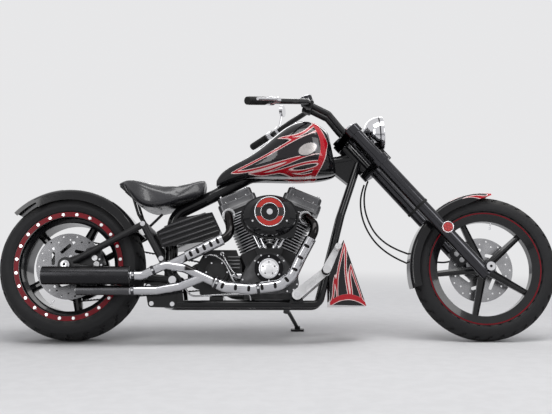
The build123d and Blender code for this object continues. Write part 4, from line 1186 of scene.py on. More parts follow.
def finish_piece(
    piece: Piece, finish: Finish = PALETTE.chrome, body: Body = Body.CHASSIS,
    smoothing: float = FLAT,
) -> Piece:
    """Sets an upright piece on the machine, gives it its finish and lets it ride on a body.

    Args:
        piece: the piece, in the upright drawing.
        finish: its finish.
        body: the body that it rides on.
        smoothing: the sharpest angle, in degrees, that is shaded smooth.

    Returns:
        The piece.
    """
    smooth(piece, smoothing)
    piece.data.transform(STANCE.matrix)
    piece.data.materials.clear()
    piece.data.materials.append(finish.material())
    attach(piece, body.value)
    LOG.info("piece %s: %d faces, rides on %s", piece.name, len(piece.data.polygons), body.value)
    return piece


@dataclass
class Tyre:
    """A tyre with its crown, side walls and cut tread, shaped from a flat grid rolled round the axle."""

    node: str
    body: Body
    radius: float
    half: float
    crown: float
    bead_radius: float
    bead_half: float
    cuts: int
    depth: float = 0.0045
    columns: int = 6
    rows: int = 34
    shoulder_share: float = 0.90
    weld: float = 0.00005

    def build(self) -> None:
        """Rolls the grid, cuts the tread and replaces the plain tyre."""
        bpy.ops.mesh.primitive_grid_add(
            x_subdivisions=self.cuts * self.columns, y_subdivisions=self.rows, size=1.0
        )
        tyre = settle(bpy.context.object, f"{self.node}_tread")
        section = self.section()
        axle = Vector(STANCE.axle(self.body, 0.0))
        for vertex in tyre.data.vertices:
            turn = (vertex.co.x + 0.5) * math.tau
            y, r = section[round((vertex.co.y + 0.5) * self.rows)]
            vertex.co = axle + Vector((r * math.cos(turn), y, r * math.sin(turn)))
        with editing(tyre, "VERT"):
            bpy.ops.mesh.select_all(action="SELECT")
            bpy.ops.mesh.remove_doubles(threshold=self.weld)
            bpy.ops.mesh.normals_make_consistent(inside=False)
        sink(tyre, self.is_groove, 0.0, self.depth)
        finish_piece(tyre, PALETTE.tyre, self.body, 28.0)
        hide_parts(self.node)

    def section(self) -> list[tuple[float, float]]:
        """Draws the half section of the tyre, row by row.

        Returns:
            Distance from the middle plane and radius at each row, from one bead over the crown to the other.
        """
        edge = self.half * self.shoulder_share
        centre = self.radius - self.crown
        shoulder = centre + math.sqrt(max(self.crown**2 - edge**2, 0.0))
        widest = self.bead_radius + 0.55 * (shoulder - self.bead_radius)
        side = [
            (self.bead_half, self.bead_radius + 0.0002),
            (self.bead_half, self.bead_radius + 0.010),
            (self.half * 0.92, self.bead_radius + 0.016),
            (self.half * 0.985, widest - 0.004),
            (self.half * 0.995, widest),
            (self.half * 0.975, widest + 0.45 * (shoulder - widest)),
        ]
        count = self.rows + 1 - 2 * len(side)
        tread = []
        for k in range(count):
            y = edge * (1 - 2 * k / (count - 1))
            tread.append((y, centre + math.sqrt(self.crown**2 - y * y)))
        return side + tread + [(-y, r) for y, r in reversed(side)]

    def is_groove(self, middle: Vector, normal: Vector) -> bool:
        """Tells whether a face of the crown belongs to the middle line or to the slanted, alternating cuts.

        Args:
            middle: the face's middle.
            normal: the face's normal.

        Returns:
            Whether it is cut.
        """
        reach = abs(middle.y) / self.half
        if reach > 0.80:
            return False
        if reach < 0.055:
            return True
        away = middle - Vector(STANCE.axle(self.body, 0.0))
        turn = math.atan2(away.z, away.x) / math.tau * self.cuts
        phase = (turn + (0.5 if middle.y > 0 else 0.0) - 0.75 * reach) % 1.0
        return reach > 0.16 and phase < 1.4 / self.columns


REAR_TYRE = Tyre(
    "rear_tyre", Body.REAR_WHEEL, radius=STANCE.tyre_radius, half=0.120, crown=STANCE.crown_radius,
    bead_radius=0.2286, bead_half=0.101, cuts=26,
)
FRONT_TYRE = Tyre(
    "front_tyre", Body.FRONT_WHEEL, radius=STANCE.front_tyre_radius, half=0.050,
    crown=STANCE.front_crown_radius, bead_radius=0.2413, bead_half=0.031, cuts=34,
)


@dataclass
class SeatPad:
    """The leather seat, swelled from the plain seat by a cloth simulation."""

    plain: Piece
    node: str = "seat"
    voxel: float = 0.0055
    shrink: float = 0.0070
    pressure: float = 4.0
    stiffness: float = 45.0
    bending: float = 12.0
    cap: float = 0.011
    frames: int = 20

    def build(self) -> None:
        """Makes the padded seat and replaces the plain one."""
        pad = twin(self.plain, Matrix())
        pad.parent = None
        pad.name = "seat_pad"
        apply(pad, "REMESH", mode="VOXEL", voxel_size=self.voxel)
        with editing(pad, "VERT"):
            bpy.ops.mesh.select_all(action="SELECT")
            bpy.ops.transform.shrink_fatten(value=-self.shrink)
            bpy.ops.mesh.vertices_smooth(factor=0.5, repeat=4)
        self.swell(pad)
        apply(pad, "SUBSURF", levels=1, render_levels=1)
        pad.data.transform(STANCE.matrix.inverted())
        finish_piece(pad, PALETTE.leather, Body.CHASSIS, ROUND)
        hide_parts(self.node)

    def swell(self, pad: Piece) -> None:
        """Blows the pad up as cloth and caps how far each point moves.

        Args:
            pad: the remeshed seat.
        """
        rest = [vertex.co.copy() for vertex in pad.data.vertices]
        focus(pad)
        cloth = pad.modifiers.new("cloth", "CLOTH")
        cloth.settings.use_pressure = True
        cloth.settings.uniform_pressure_force = self.pressure
        cloth.settings.effector_weights.gravity = 0.0
        cloth.settings.tension_stiffness = self.stiffness
        cloth.settings.compression_stiffness = self.stiffness
        cloth.settings.bending_stiffness = self.bending
        cloth.point_cache.frame_start = 1
        cloth.point_cache.frame_end = self.frames
        scene = bpy.context.scene
        for frame_number in range(1, self.frames + 1):
            scene.frame_set(frame_number)
        focus(pad)
        bpy.ops.object.modifier_apply(modifier=cloth.name)
        scene.frame_set(1)
        moved = 0.0
        for vertex, start in zip(pad.data.vertices, rest):
            step = vertex.co - start
            if step.length > self.cap:
                step *= self.cap / step.length
            moved = max(moved, step.length)
            vertex.co = start + step
        with editing(pad, "VERT"):
            bpy.ops.mesh.select_all(action="SELECT")
            bpy.ops.mesh.vertices_smooth(factor=0.5, repeat=8)
        LOG.info("seat swelled by up to %.1f mm", moved * 1000)


def thread(name: str, points: Sequence[Point | Vector], radius: float, rings: int, steps: int) -> Piece:
    """Draws a round line as a curve that ends at its first and last points.

    Args:
        name: its plain name.
        points: its control points, in metres.
        radius: its radius.
        rings: how finely its round section is divided.
        steps: how many steps it has between two points.

    Returns:
        The curve's object.
    """
    curve = bpy.data.curves.new(name, "CURVE")
    curve.dimensions = "3D"
    curve.bevel_depth = radius
    curve.bevel_resolution = rings
    curve.use_fill_caps = True
    spline = curve.splines.new("NURBS")
    spline.points.add(len(points) - 1)
    for control, point in zip(spline.points, points):
        control.co = (*point, 1.0)
    spline.order_u = 3
    spline.use_endpoint_u = True
    spline.resolution_u = steps
    line = bpy.data.objects.new(name, curve)
    bpy.context.scene.collection.objects.link(line)
    return line


def tube_run(name: str, points: Sequence[Point], radius: float, sides: int = 12) -> Piece:
    """Draws a round wire through points as a mesh.

    Args:
        name: its plain name.
        points: its control points, in metres.
        radius: its radius.
        sides: how many sides it has.

    Returns:
        The wire.
    """
    wire = thread(name, points, radius, sides // 4 - 1, 4)
    focus(wire)
    bpy.ops.object.convert(target="MESH")
    wire.data.name = name
    return wire


@dataclass
class Hose:
    """A rubber hose that hangs in a smooth curve beside the fork, by points of the steering frame in mm."""

    node: str
    route: tuple[Point, ...]
    length: float
    diameter: float = 0.008

    def build(self) -> None:
        place = STANCE.matrix @ STANCE.steer
        points = [place @ (Vector(point) / 1000.0) for point in self.route]
        hose = thread(f"{self.node}_line", points, self.diameter / 2, 4, 8)
        hose.data.materials.append(PALETTE.rubber.material())
        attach(hose, Body.STEERING.value)
        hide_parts(self.node)


@dataclass
class Paint:
    """Gives every part of the machine its finish."""

    palette: Palette = PALETTE

    def finishes(self) -> dict[str, Finish]:
        """Lists the finish of each part.

        Returns:
            The finishes by the part's name.
        """
        p = self.palette
        table = {
            p.gloss_black: "frame rear_fender handlebar oil_tank regulator air_cleaner lamp_bracket",
            p.satin_black: "swingarm seat_stays front_caliper rear_caliper risers side_stand",
            p.engine_black: "crankcase cam_cover gearbox primary_cover intake",
            p.barrels: "cylinders",
            p.heads: "heads",
            p.rocker_grey: "rocker_boxes",
            p.tank: "fuel_tank",
            p.spoiler: "chin_spoiler",
            p.fender: "front_fender",
            p.wheel_black: "rear_wheel front_wheel rear_pulley front_pulley",
            p.dark_chrome: "fork_leg_left fork_leg_right upper_tree lower_tree gauge",
            p.chrome: "headlamp pushrod_tubes fuel_cap front_axle rear_axle mirror bar_levers",
            p.satin_chrome: "heat_shields",
            p.pipes: "exhaust_pipes",
            p.timer: "timer_cover",
            p.mufflers: "mufflers",
            p.bright_alloy: "foot_control_left foot_control_right",
            p.rubber: "grips brake_hose sensor_hose",
            p.tyre: "front_tyre rear_tyre",
            p.red_glass: "tail_lamp marker_lamps",
            p.clear_glass: "headlamp_lens",
            p.leather: "seat",
            p.belt: "drive_belt",
            p.rear_disc: "rear_disc",
            p.front_disc: "front_disc",
        }
        return {name: finish for finish, names in table.items() for name in names.split()}

    def dress(self, nodes: dict[str, Piece]) -> None:
        """Puts the finishes on.

        Args:
            nodes: the machine's parts by name.
        """
        finishes = self.finishes()
        for name, node in nodes.items():
            for slot in node.material_slots:
                slot.material = finishes[name].material()
            LOG.info("part %s is %s", name, finishes[name].name)


@dataclass(frozen=True)
class Softbox:
    """One soft rectangular light: where it hangs, where it looks, its sides in metres and its watts."""

    name: str
    at: Point
    to: Point
    size: tuple[float, float]
    power: float

    def build(self) -> None:
        """Hangs the light."""
        bpy.ops.object.light_add(type="AREA", location=self.at)
        lamp = bpy.context.object
        lamp.name = self.name
        lamp.data.shape = "RECTANGLE"
        lamp.data.size, lamp.data.size_y = self.size
        lamp.data.energy = self.power
        lamp.rotation_euler = (Vector(self.to) - Vector(self.at)).to_track_quat("-Z", "Y").to_euler()


@dataclass
class Studio:
    """Pale floor and background, soft lights and the camera of the photograph."""

    camera_at: Point = (-0.0105, -4.1544, 0.598)
    lens: float = 58.7
    floor_size: float = 30.0
    floor: Finish = Finish("studio floor", (0.60, 0.60, 0.605), 0.90, unevenness=0.08, shade=0.04, dust=0.0)
    fade: tuple[float, float] = (1.5, 4.6)
    sky_colour: Colour = (0.80, 0.80, 0.81)
    sky_light: Colour = (0.50, 0.50, 0.52)
    lights: tuple[Softbox, ...] = (
        Softbox("softbox", (0.4, -1.2, 3.6), (0.0, 0.0, 0.4), (4.2, 1.5), 96.0),
        Softbox("front_strip", (-2.4, -3.6, 1.7), (-0.2, 0.0, 0.5), (0.8, 2.6), 36.0),
        Softbox("side_strip", (3.2, -2.8, 2.3), (0.3, 0.0, 0.5), (1.6, 1.6), 36.0),
        Softbox("back_rim", (0.0, 3.2, 2.4), (0.0, 0.0, 0.6), (4.0, 0.6), 30.0),
    )

    def build(self) -> None:
        """Sets the whole studio up."""
        self.lay_floor()
        self.world()
        for light in self.lights:
            light.build()
        self.camera()
        bpy.context.scene.view_settings.view_transform = "Standard"

    def lay_floor(self) -> None:
        """Lays the floor under the wheels, and lets it fade into the background far off for the camera."""
        bpy.ops.mesh.primitive_plane_add(size=self.floor_size, location=(0.0, 0.0, 0.0))
        floor = settle(bpy.context.object, "studio_floor")
        material = self.floor.material()
        floor.data.materials.append(material)
        nodes = Nodes(material.node_tree)
        surface = next(node for node in nodes.tree.nodes if node.type == "BSDF_PRINCIPLED")
        place = nodes.add("TexCoord").outputs["Object"]
        away = nodes.add("VectorMath", place, settings={"operation": "LENGTH"}).outputs["Value"]
        seen = nodes.add("LightPath").outputs["Is Camera Ray"]
        mask = nodes.ramp(away, *self.fade) * Value(nodes, seen)
        colour = surface.inputs["Base Color"].links[0].from_socket
        nodes.feed(surface.inputs["Base Color"], nodes.mix(mask, colour, (0.0, 0.0, 0.0)))
        nodes.feed(surface.inputs["Emission Color"], (*self.sky_colour, 1.0))
        nodes.feed(surface.inputs["Emission Strength"], mask)
        nodes.feed(surface.inputs["Specular IOR Level"], 0.0)

    def world(self) -> None:
        """Makes the background pale where it is seen, also in metal and glass, and softer as a light."""
        world = bpy.data.worlds.new("studio")
        world.use_nodes = True
        world.node_tree.nodes.clear()
        nodes = Nodes(world.node_tree)
        rays = nodes.add("LightPath").outputs
        seen = nodes.math("MAXIMUM", rays["Is Camera Ray"], rays["Is Glossy Ray"])
        seen = nodes.math("MAXIMUM", seen, rays["Is Transmission Ray"])
        background = nodes.add("Background", Color=nodes.mix(seen, self.sky_light, self.sky_colour))
        nodes.add("OutputWorld", Surface=background.outputs[0])
        bpy.context.scene.world = world

    def camera(self) -> None:
        """Sets the camera where the photograph was taken from."""
        bpy.ops.object.camera_add(location=self.camera_at, rotation=(math.pi / 2, 0.0, 0.0))
        camera = bpy.context.object
        camera.data.lens = self.lens
        bpy.context.scene.camera = camera


def looking(points: Sequence[Point], out: Point = RIGHT) -> list[Matrix]:
    """Places at points that all look the same way."""
    return [facing(point, out) for point in points]


def ring(middle: Point, radius: float, angles: Sequence[float]) -> list[Point]:
    """Points on a circle round an axis along Y, at angles in degrees above straight ahead."""
    x, y, z = middle
    turns = [math.radians(angle) for angle in angles]
    return [(x + radius * math.cos(turn), y, z + radius * math.sin(turn)) for turn in turns]


def even(count: int, start: float = 0.0) -> list[float]:
    """Evenly spaced angles round a circle, in degrees, from the first one on."""
    return [start + 360.0 / count * k for k in range(count)]


def scatter(
    name: str, master: Piece, places: Sequence[Matrix], finish: Finish = PALETTE.chrome,
    body: Body = Body.CHASSIS,
) -> None:
    """Sets copies of one small piece, drawn at the origin along +Z, on the machine as one piece."""
    finish_piece(sprinkle(master, places, name), finish, body)


@dataclass(frozen=True)
class Bolts:
    """A set of bolt heads that face one way: their form, radius and height, and where they are."""

    name: str
    form: Callable[[float, float], Piece]
    radius: float
    height: float
    points: Sequence[Point]
    out: Point = RIGHT
    finish: Finish = PALETTE.chrome

    def build(self) -> None:
        """Models the heads on the chassis."""
        scatter(self.name, self.form(self.radius, self.height), looking(self.points, self.out), self.finish)


@dataclass
class WheelTrim:
    """The rear rim's red bolted ring, the front rim's red lines, hub rings and valve stems."""

    ring_y: float = -0.1072
    ring_radii: tuple[float, float] = (0.2398, 0.2190)
    bolt_circle: float = 0.2290
    bolts: int = 24
    line_y: float = 0.0371
    line_radii: tuple[float, float] = (0.2510, 0.2452)

    def build(self) -> None:
        """Models the trim of both wheels."""
        self.bolted_ring()
        for name, side in SIDES.items():
            at = STANCE.axle(Body.FRONT_WHEEL, side * self.line_y)
            line = washer(f"front_rim_line_{name}", at, *self.line_radii, 0.0010, Lie.Y, 180)
            finish_piece(line, PALETTE.rim_red, Body.FRONT_WHEEL, ROUND)
        self.hub_ring("rear_hub", Body.REAR_WHEEL, -0.0892, 0.0345, 0.0215)
        self.hub_ring("front_hub", Body.FRONT_WHEEL, -0.0562, 0.0325, 0.0140)
        self.valve("rear_valve", Body.REAR_WHEEL, -0.040, 0.1965, 243.0)
        self.valve("front_valve", Body.FRONT_WHEEL, -0.012, 0.2125, 80.0)

    def bolted_ring(self) -> None:
        """The red ring on the rear rim's right lip, with its bright bolts."""
        axle = STANCE.axle(Body.REAR_WHEEL, self.ring_y)
        band = washer("rear_rim_ring", axle, *self.ring_radii, 0.0012, Lie.Y, 96)
        soften(band, 0.0004, 1)
        finish_piece(band, PALETTE.rim_red, Body.REAR_WHEEL)
        places = looking(ring(axle, self.bolt_circle, even(self.bolts, 7.5)))
        scatter("rear_rim_bolts", dome_bolt(0.0070, 0.0050), places, PALETTE.bright, Body.REAR_WHEEL)

    def hub_ring(self, name: str, body: Body, y: float, outer: float, inner: float) -> None:
        """Models a bolted ring on a hub's right end, round the axle.

        Args:
            name: the hub's name.
            body: the wheel's body.
            y: its place along the axle.
            outer: its outer radius.
            inner: its inner radius.
        """
        cap = washer(f"{name}_cap", STANCE.axle(body, y), outer, inner, 0.0030, Lie.Y, 40)
        soften(cap, 0.0007)
        finish_piece(cap, PALETTE.dark_chrome, body)
        places = looking(ring(STANCE.axle(body, y - 0.0013), (outer + inner) / 2, even(5, 20.0)))
        scatter(f"{name}_bolts", socket_bolt(0.0036, 0.0035), places, body=body)

    def valve(self, name: str, body: Body, y: float, radius: float, angle: float) -> None:
        """Models a valve stem that points from the rim to the axle.

        Args:
            name: its plain name.
            body: the wheel's body.
            y: its place along the axle.
            radius: how far its root is from the axle.
            angle: its angle in degrees above straight ahead.
        """
        turn = math.radians(angle)
        inward = Vector((-math.cos(turn), 0, -math.sin(turn)))
        stem = drum("stem", (0, 0, 0.014), 0.0026, 0.028, Lie.Z, 12)
        step(stem, 0.0006, -0.0005)
        cap = drum("valve", (0, 0, 0.029), 0.0038, 0.008, Lie.Z, 12)
        step(cap, 0.0012, -0.0012)
        whole = merge([stem, cap], name)
        whole.data.transform(facing(Vector(STANCE.axle(body, y)) - inward * radius, inward))
        finish_piece(whole, body=body)


@dataclass
class BrakeTrim:
    """Disc bolts and rivets, and the piston caps and bolts of both calipers."""

    bolt_circle: float = 0.0440
    rivet_circle: float = 0.1065
    rear_reach: float = 0.124
    rear_angle: float = math.radians(18.0)
    rear_y: float = -0.1346
    front_y: float = 0.0410
    front_height: float = -0.735

    def build(self) -> None:
        """Models the trim of both brakes."""
        self.disc("rear_disc", Body.REAR_WHEEL, -0.0888, RIGHT)
        self.disc("front_disc", Body.FRONT_WHEEL, 0.0608, LEFT)
        along = Vector((math.cos(self.rear_angle), 0, math.sin(self.rear_angle)))
        up = Vector((-along.z, 0, along.x))
        middle = Vector(STANCE.axle(Body.REAR_WHEEL, self.rear_y)) + along * self.rear_reach
        caps = looking([middle + up * s for s in (-0.034, -0.006)])
        bolts = looking([middle + up * s + Vector((0.020, 0, 0)) for s in (-0.038, -0.012)])
        self.caliper("rear_caliper", Body.CHASSIS, 0.0125, caps, socket_bolt(0.0044, 0.005), bolts)
        caps, bolts = [
            [STANCE.steer @ facing((u, self.front_y, self.front_height + s * half), RIGHT) for s in (-1, 1)]
            for u, half in ((0.056, 0.018), (0.082, 0.028))
        ]
        self.caliper("front_caliper", Body.STEERING, 0.0115, caps, socket_bolt(0.0042, 0.004), bolts)

    def disc(self, name: str, body: Body, y: float, out: Point) -> None:
        """Models a disc's bolts and rivets.

        Args:
            name: the disc's name.
            body: the wheel's body.
            y: the place of the disc's face along the axle.
            out: the way that the face looks.
        """
        axle = STANCE.axle(body, y)
        places = looking(ring(axle, self.bolt_circle, even(5, 12.0)), out)
        scatter(f"{name}_bolts", hex_bolt(0.0062, 0.0050), places, body=body)
        places = looking(ring(axle, self.rivet_circle, even(7, 30.0)), out)
        scatter(f"{name}_rivets", dome_bolt(0.0058, 0.0018), places, PALETTE.steel, body)

    def caliper(
        self, name: str, body: Body, radius: float, caps: list[Matrix], bolt: Piece, bolts: list[Matrix]
    ) -> None:
        """Models a caliper's stepped piston caps and its bolts.

        Args:
            name: the caliper's name.
            body: the body that it rides on.
            radius: the radius of a cap.
            caps: where the caps go.
            bolt: the bolt head.
            bolts: where the bolts go.
        """
        cap = drum("piston", (0, 0, 0.0010), radius, 0.0020, Lie.Z, 28)
        step(cap, 0.0016, -0.0008)
        step(cap, radius * 0.30, 0.0014)
        scatter(f"{name}_caps", cap, caps, PALETTE.steel, body)
        scatter(f"{name}_bolts", bolt, bolts, body=body)


@dataclass
class BeltDrive:
    """The belt's teeth on its inner face and the rear pulley's bolts."""

    pitch: float = 0.014
    y: float = 0.140
    width: float = 0.0185
    rear_radius: float = 0.1383
    front_radius: float = 0.0623
    front_at: tuple[float, float] = (0.563, 0.300)
    clearance: float = 0.0002

    def build(self) -> None:
        """Models the teeth on both straight runs, and the bolts."""
        rear = Vector(STANCE.axle(Body.REAR_WHEEL, self.y))
        front = Vector((self.front_at[0], self.y, self.front_at[1]))
        run = (front - rear).normalized()
        slope = math.asin((self.rear_radius - self.front_radius) / (front - rear).length)
        places = []
        for side in (1, -1):
            up = Vector((-run.z, 0, run.x)) * side
            out = up * math.cos(slope) + run * math.sin(slope)
            start = rear + out * (self.rear_radius + self.clearance)
            end = front + out * (self.front_radius + self.clearance)
            count = int((end - start).length / self.pitch)
            places += [facing(start.lerp(end, k / count), -out) for k in range(2, count - 1)]
        tooth = block("tooth", (0, 0, 0.0009), (0.0064, self.width, 0.0018))
        step(tooth, 0.0012, -0.0006)
        scatter("belt_teeth", tooth, places, PALETTE.belt)
        places = looking(ring(STANCE.axle(Body.REAR_WHEEL, 0.1499), 0.036, even(5, 36.0)), LEFT)
        scatter("rear_pulley_bolts", hex_bolt(0.0066, 0.0060), places, body=Body.REAR_WHEEL)


@dataclass
class EngineTrim:
    """Screws of the covers, rocker box bolts, pushrod collars and cooling ribs."""

    right_bolts: tuple[Bolts, ...] = (
        Bolts(
            "timer_screws", socket_bolt, 0.0030, 0.0030,
            ring((TIMER[0], -0.1656, TIMER[1]), 0.0270, even(5, 90)), finish=PALETTE.dark_chrome,
        ),
        Bolts(
            "timer_ring_screws", socket_bolt, 0.0034, 0.0035,
            ring((TIMER[0], -0.1559, TIMER[1]), 0.0525, even(6, 30)),
        ),
        Bolts("cam_cover_screws", socket_bolt, 0.0036, 0.0040, (
            *ring((0.881, -0.1420, 0.302), 0.0765, (35, 62, 118, 145)),
            *ring((0.965, -0.1420, 0.250), 0.0365, (-100, -55, -10, 30)),
            *ring((0.797, -0.1420, 0.246), 0.0365, (150, 190, 235, 280)),
            (0.851, -0.1420, 0.2110), (0.915, -0.1420, 0.2110),
        )),
    )
    gearbox_bolts: Bolts = Bolts(
        "gearbox_screws", socket_bolt, 0.0036, 0.0040, ring((0.650, -0.0979, 0.300), 0.0460, even(6))
    )
    left_bolts: tuple[Bolts, ...] = (
        Bolts(
            "clutch_screws", socket_bolt, 0.0040, 0.0040,
            ring((0.737, 0.1602, 0.292), 0.0580, even(5, 18)), LEFT,
        ),
        Bolts("primary_screws", socket_bolt, 0.0038, 0.0035, (
            *ring((0.881, 0.1502, 0.268), 0.0720, (-80, -30, 20, 70)),
            *ring((0.737, 0.1502, 0.292), 0.0840, (110, 160, 210, 260)),
        ), LEFT),
    )
    lid_height: float = 0.4258
    ledge_height: float = 0.3925
    rib_height: float = 0.3640
    rod_y: tuple[float, float] = (-0.104, -0.100)
    rod_foot_height: float = 0.392
    rods: tuple[Point, ...] = ((0.012, 0.0834, 0.5582), (0.034, 0.1093, 0.5475))
    collar_shares: tuple[float, ...] = (0.13, 0.50, 0.80)

    def build(self) -> None:
        """Models the engine's trim."""
        self.timer()
        for bolts in self.right_bolts:
            bolts.build()
        self.rocker_boxes()
        self.pushrod_collars()
        self.gearbox_bolts.build()
        fin = block("rib", (0, 0, 0), (0.0560, 0.0090, 0.0060))
        soften(fin, 0.0022)
        places = [Matrix.Translation((0.7235, -0.0832, 0.3210 + 0.0160 * k)) for k in range(4)]
        scatter("gearbox_ribs", fin, places, PALETTE.rocker_grey)
        for bolts in self.left_bolts:
            bolts.build()

    def timer(self) -> None:
        """The timer cover's bright stepped plate and its rim."""
        x, z = TIMER
        rim = washer("timer_rim", (x, -0.1641, z), 0.0420, 0.0360, 0.0024, Lie.Y, 48)
        soften(rim, 0.0008)
        finish_piece(rim)
        plate = drum("timer_plate", (x, -0.1646, z), 0.0350, 0.0020, Lie.Y, 56)
        for border, height in ((0.0160, 0.0012), (0.0020, 0.0010)):
            step(plate, border, -height, RIGHT)
        soften(plate, 0.0006)
        finish_piece(plate, PALETTE.bright)

    def rocker_boxes(self) -> None:
        """Bolts on the rocker boxes' lids and ledges, and a rib along each side."""
        lids, ledges, ribs = [], [], []
        for side in (1, -1):
            frame = cylinder(side)
            corners = [(x, y) for x in (-0.060, 0.060) for y in (-0.044, 0.044)]
            lids += [frame @ Matrix.Translation((x, y, self.lid_height)) for x, y in corners]
            spots = [(x, y) for x in (-0.0822, 0.0822) for y in (-0.030, 0.030)]
            spots += [(x, y) for x in (-0.048, 0.0, 0.048) for y in (-0.0638, 0.0638)]
            ledges += [frame @ Matrix.Translation((x, y, self.ledge_height)) for x, y in spots]
            for hand in (-1, 1):
                rib = block("rib", (0.0, hand * 0.0702, self.rib_height), (0.130, 0.0016, 0.0060))
                step(rib, 0.0012, -0.0006, (0, hand, 0))
                rib.data.transform(frame)
                ribs.append(rib)
        scatter("rocker_lid_bolts", socket_bolt(0.0062, 0.0060), lids)
        scatter("rocker_ledge_bolts", socket_bolt(0.0030, 0.0060), ledges, PALETTE.steel)
        finish_piece(merge(ribs, "rocker_ribs"), PALETTE.rocker_grey)

    def pushrod_collars(self) -> None:
        """Stepped collars at the ends and the middle of each pushrod tube."""
        low_y, high_y = self.rod_y
        places = []
        for side in (1, -1):
            for foot, ahead, top in self.rods:
                low = Vector((CRANK[0] + side * foot, low_y, self.rod_foot_height))
                high = Vector((CRANK[0] + side * ahead, high_y, top))
                places += [facing(low.lerp(high, share), high - low) for share in self.collar_shares]
        collar = washer("collar", (0, 0, 0), 0.0108, 0.0079, 0.0075, Lie.Z, 20)
        soften(collar, 0.0012)
        scatter("pushrod_collars", collar, places)


@dataclass
class LineTrim:
    """The steel oil lines and the solenoid on the gearbox, and the brake line above the lower rail."""

    radius: float = 0.0042
    face: float = -0.0800
    seat: float = -0.0760
    solenoid_at: tuple[float, float] = (0.735, 0.283)
    solenoid_radius: float = 0.0145

    def build(self) -> None:
        """Models the lines with the nuts that hold their ends."""
        lines = {
            "oil_line_long": (
                (0.596, self.seat, 0.372), (0.596, -0.112, 0.372), (0.640, -0.118, 0.376),
                (0.686, -0.118, 0.345), (0.706, -0.118, 0.300), (0.722, -0.117, 0.262),
                (0.738, -0.108, 0.250), (0.738, self.seat, 0.250),
            ),
            "oil_line_short": (
                (0.672, self.seat, 0.384), (0.672, -0.112, 0.384), (0.690, -0.124, 0.352),
                (0.716, -0.124, 0.305), (0.736, -0.118, 0.286), (0.742, -0.100, 0.283),
            ),
            "rear_brake_line": (
                (0.800, -0.105, 0.170), (0.800, -0.108, 0.200), (0.780, -0.118, 0.204),
                (0.624, -0.120, 0.199), (0.548, -0.120, 0.192), (0.528, -0.120, 0.209),
                (0.508, -0.121, 0.238), (0.466, -0.122, 0.238),
            ),
        }
        for name, points in lines.items():
            line = tube_run(name, points, self.radius)
            finish_piece(line, PALETTE.steel, smoothing=ROUND)
        ends = [(x, self.face, z) for x, z in ((0.596, 0.372), (0.738, 0.250), (0.672, 0.384))]
        Bolts("line_nuts", hex_bolt, 0.0078, 0.0090, ends).build()
        x, z = self.solenoid_at
        barrel = drum("solenoid", (x, self.face - 0.0142, z), self.solenoid_radius, 0.044, Lie.X, 32)
        for way in (-1, 1):
            step(barrel, 0.0022, -0.0014, (way, 0, 0))
            step(barrel, 0.0050, 0.0030, (way, 0, 0))
        finish_piece(barrel, PALETTE.satin_chrome)


@dataclass
class AirCleanerTrim:
    """The bare red ring, its chrome rims, the black dish and the centre bolt."""

    band_radii: tuple[float, float] = (0.0600, 0.0400)
    rim_sizes: tuple[tuple[float, float], ...] = ((0.0635, 0.0022), (0.0375, 0.0018))
    dish_radius: float = 0.0360

    def at(self, out: float = 0.0, up: float = 0.0) -> Point:
        """A point beside the middle of the cover, out of its face and up."""
        x, y, z = AIR_CLEANER
        return (x, y - out, z + up)

    def build(self) -> None:
        """Models the ring in the middle of the air cleaner's cover."""
        band = washer("air_ring", self.at(0.0008), *self.band_radii, 0.0024, Lie.Y, 72)
        soften(band, 0.0006, 1)
        finish_piece(band, PALETTE.ring_red)
        rims = [hoop("rim", self.at(0.0012), radius, thick, Lie.Y, 72) for radius, thick in self.rim_sizes]
        finish_piece(merge(rims, "air_ring_rims"), smoothing=ROUND)
        dish = drum("air_dish", self.at(0.0020), self.dish_radius, 0.0048, Lie.Y, 48)
        step(dish, 0.0060, 0.0022, RIGHT)
        step(dish, 0.0002, -0.0004, RIGHT)
        soften(dish, 0.0008, sharper=50.0)
        finish_piece(dish, PALETTE.gloss_black)
        Bolts("air_bolt", hex_bolt, 0.0115, 0.0090, [self.at(0.0018)]).build()
        points = ring(self.at(-0.0090, -0.012), 0.0780, (200, 340))
        Bolts("air_cover_bolts", socket_bolt, 0.0042, 0.0060, points).build()


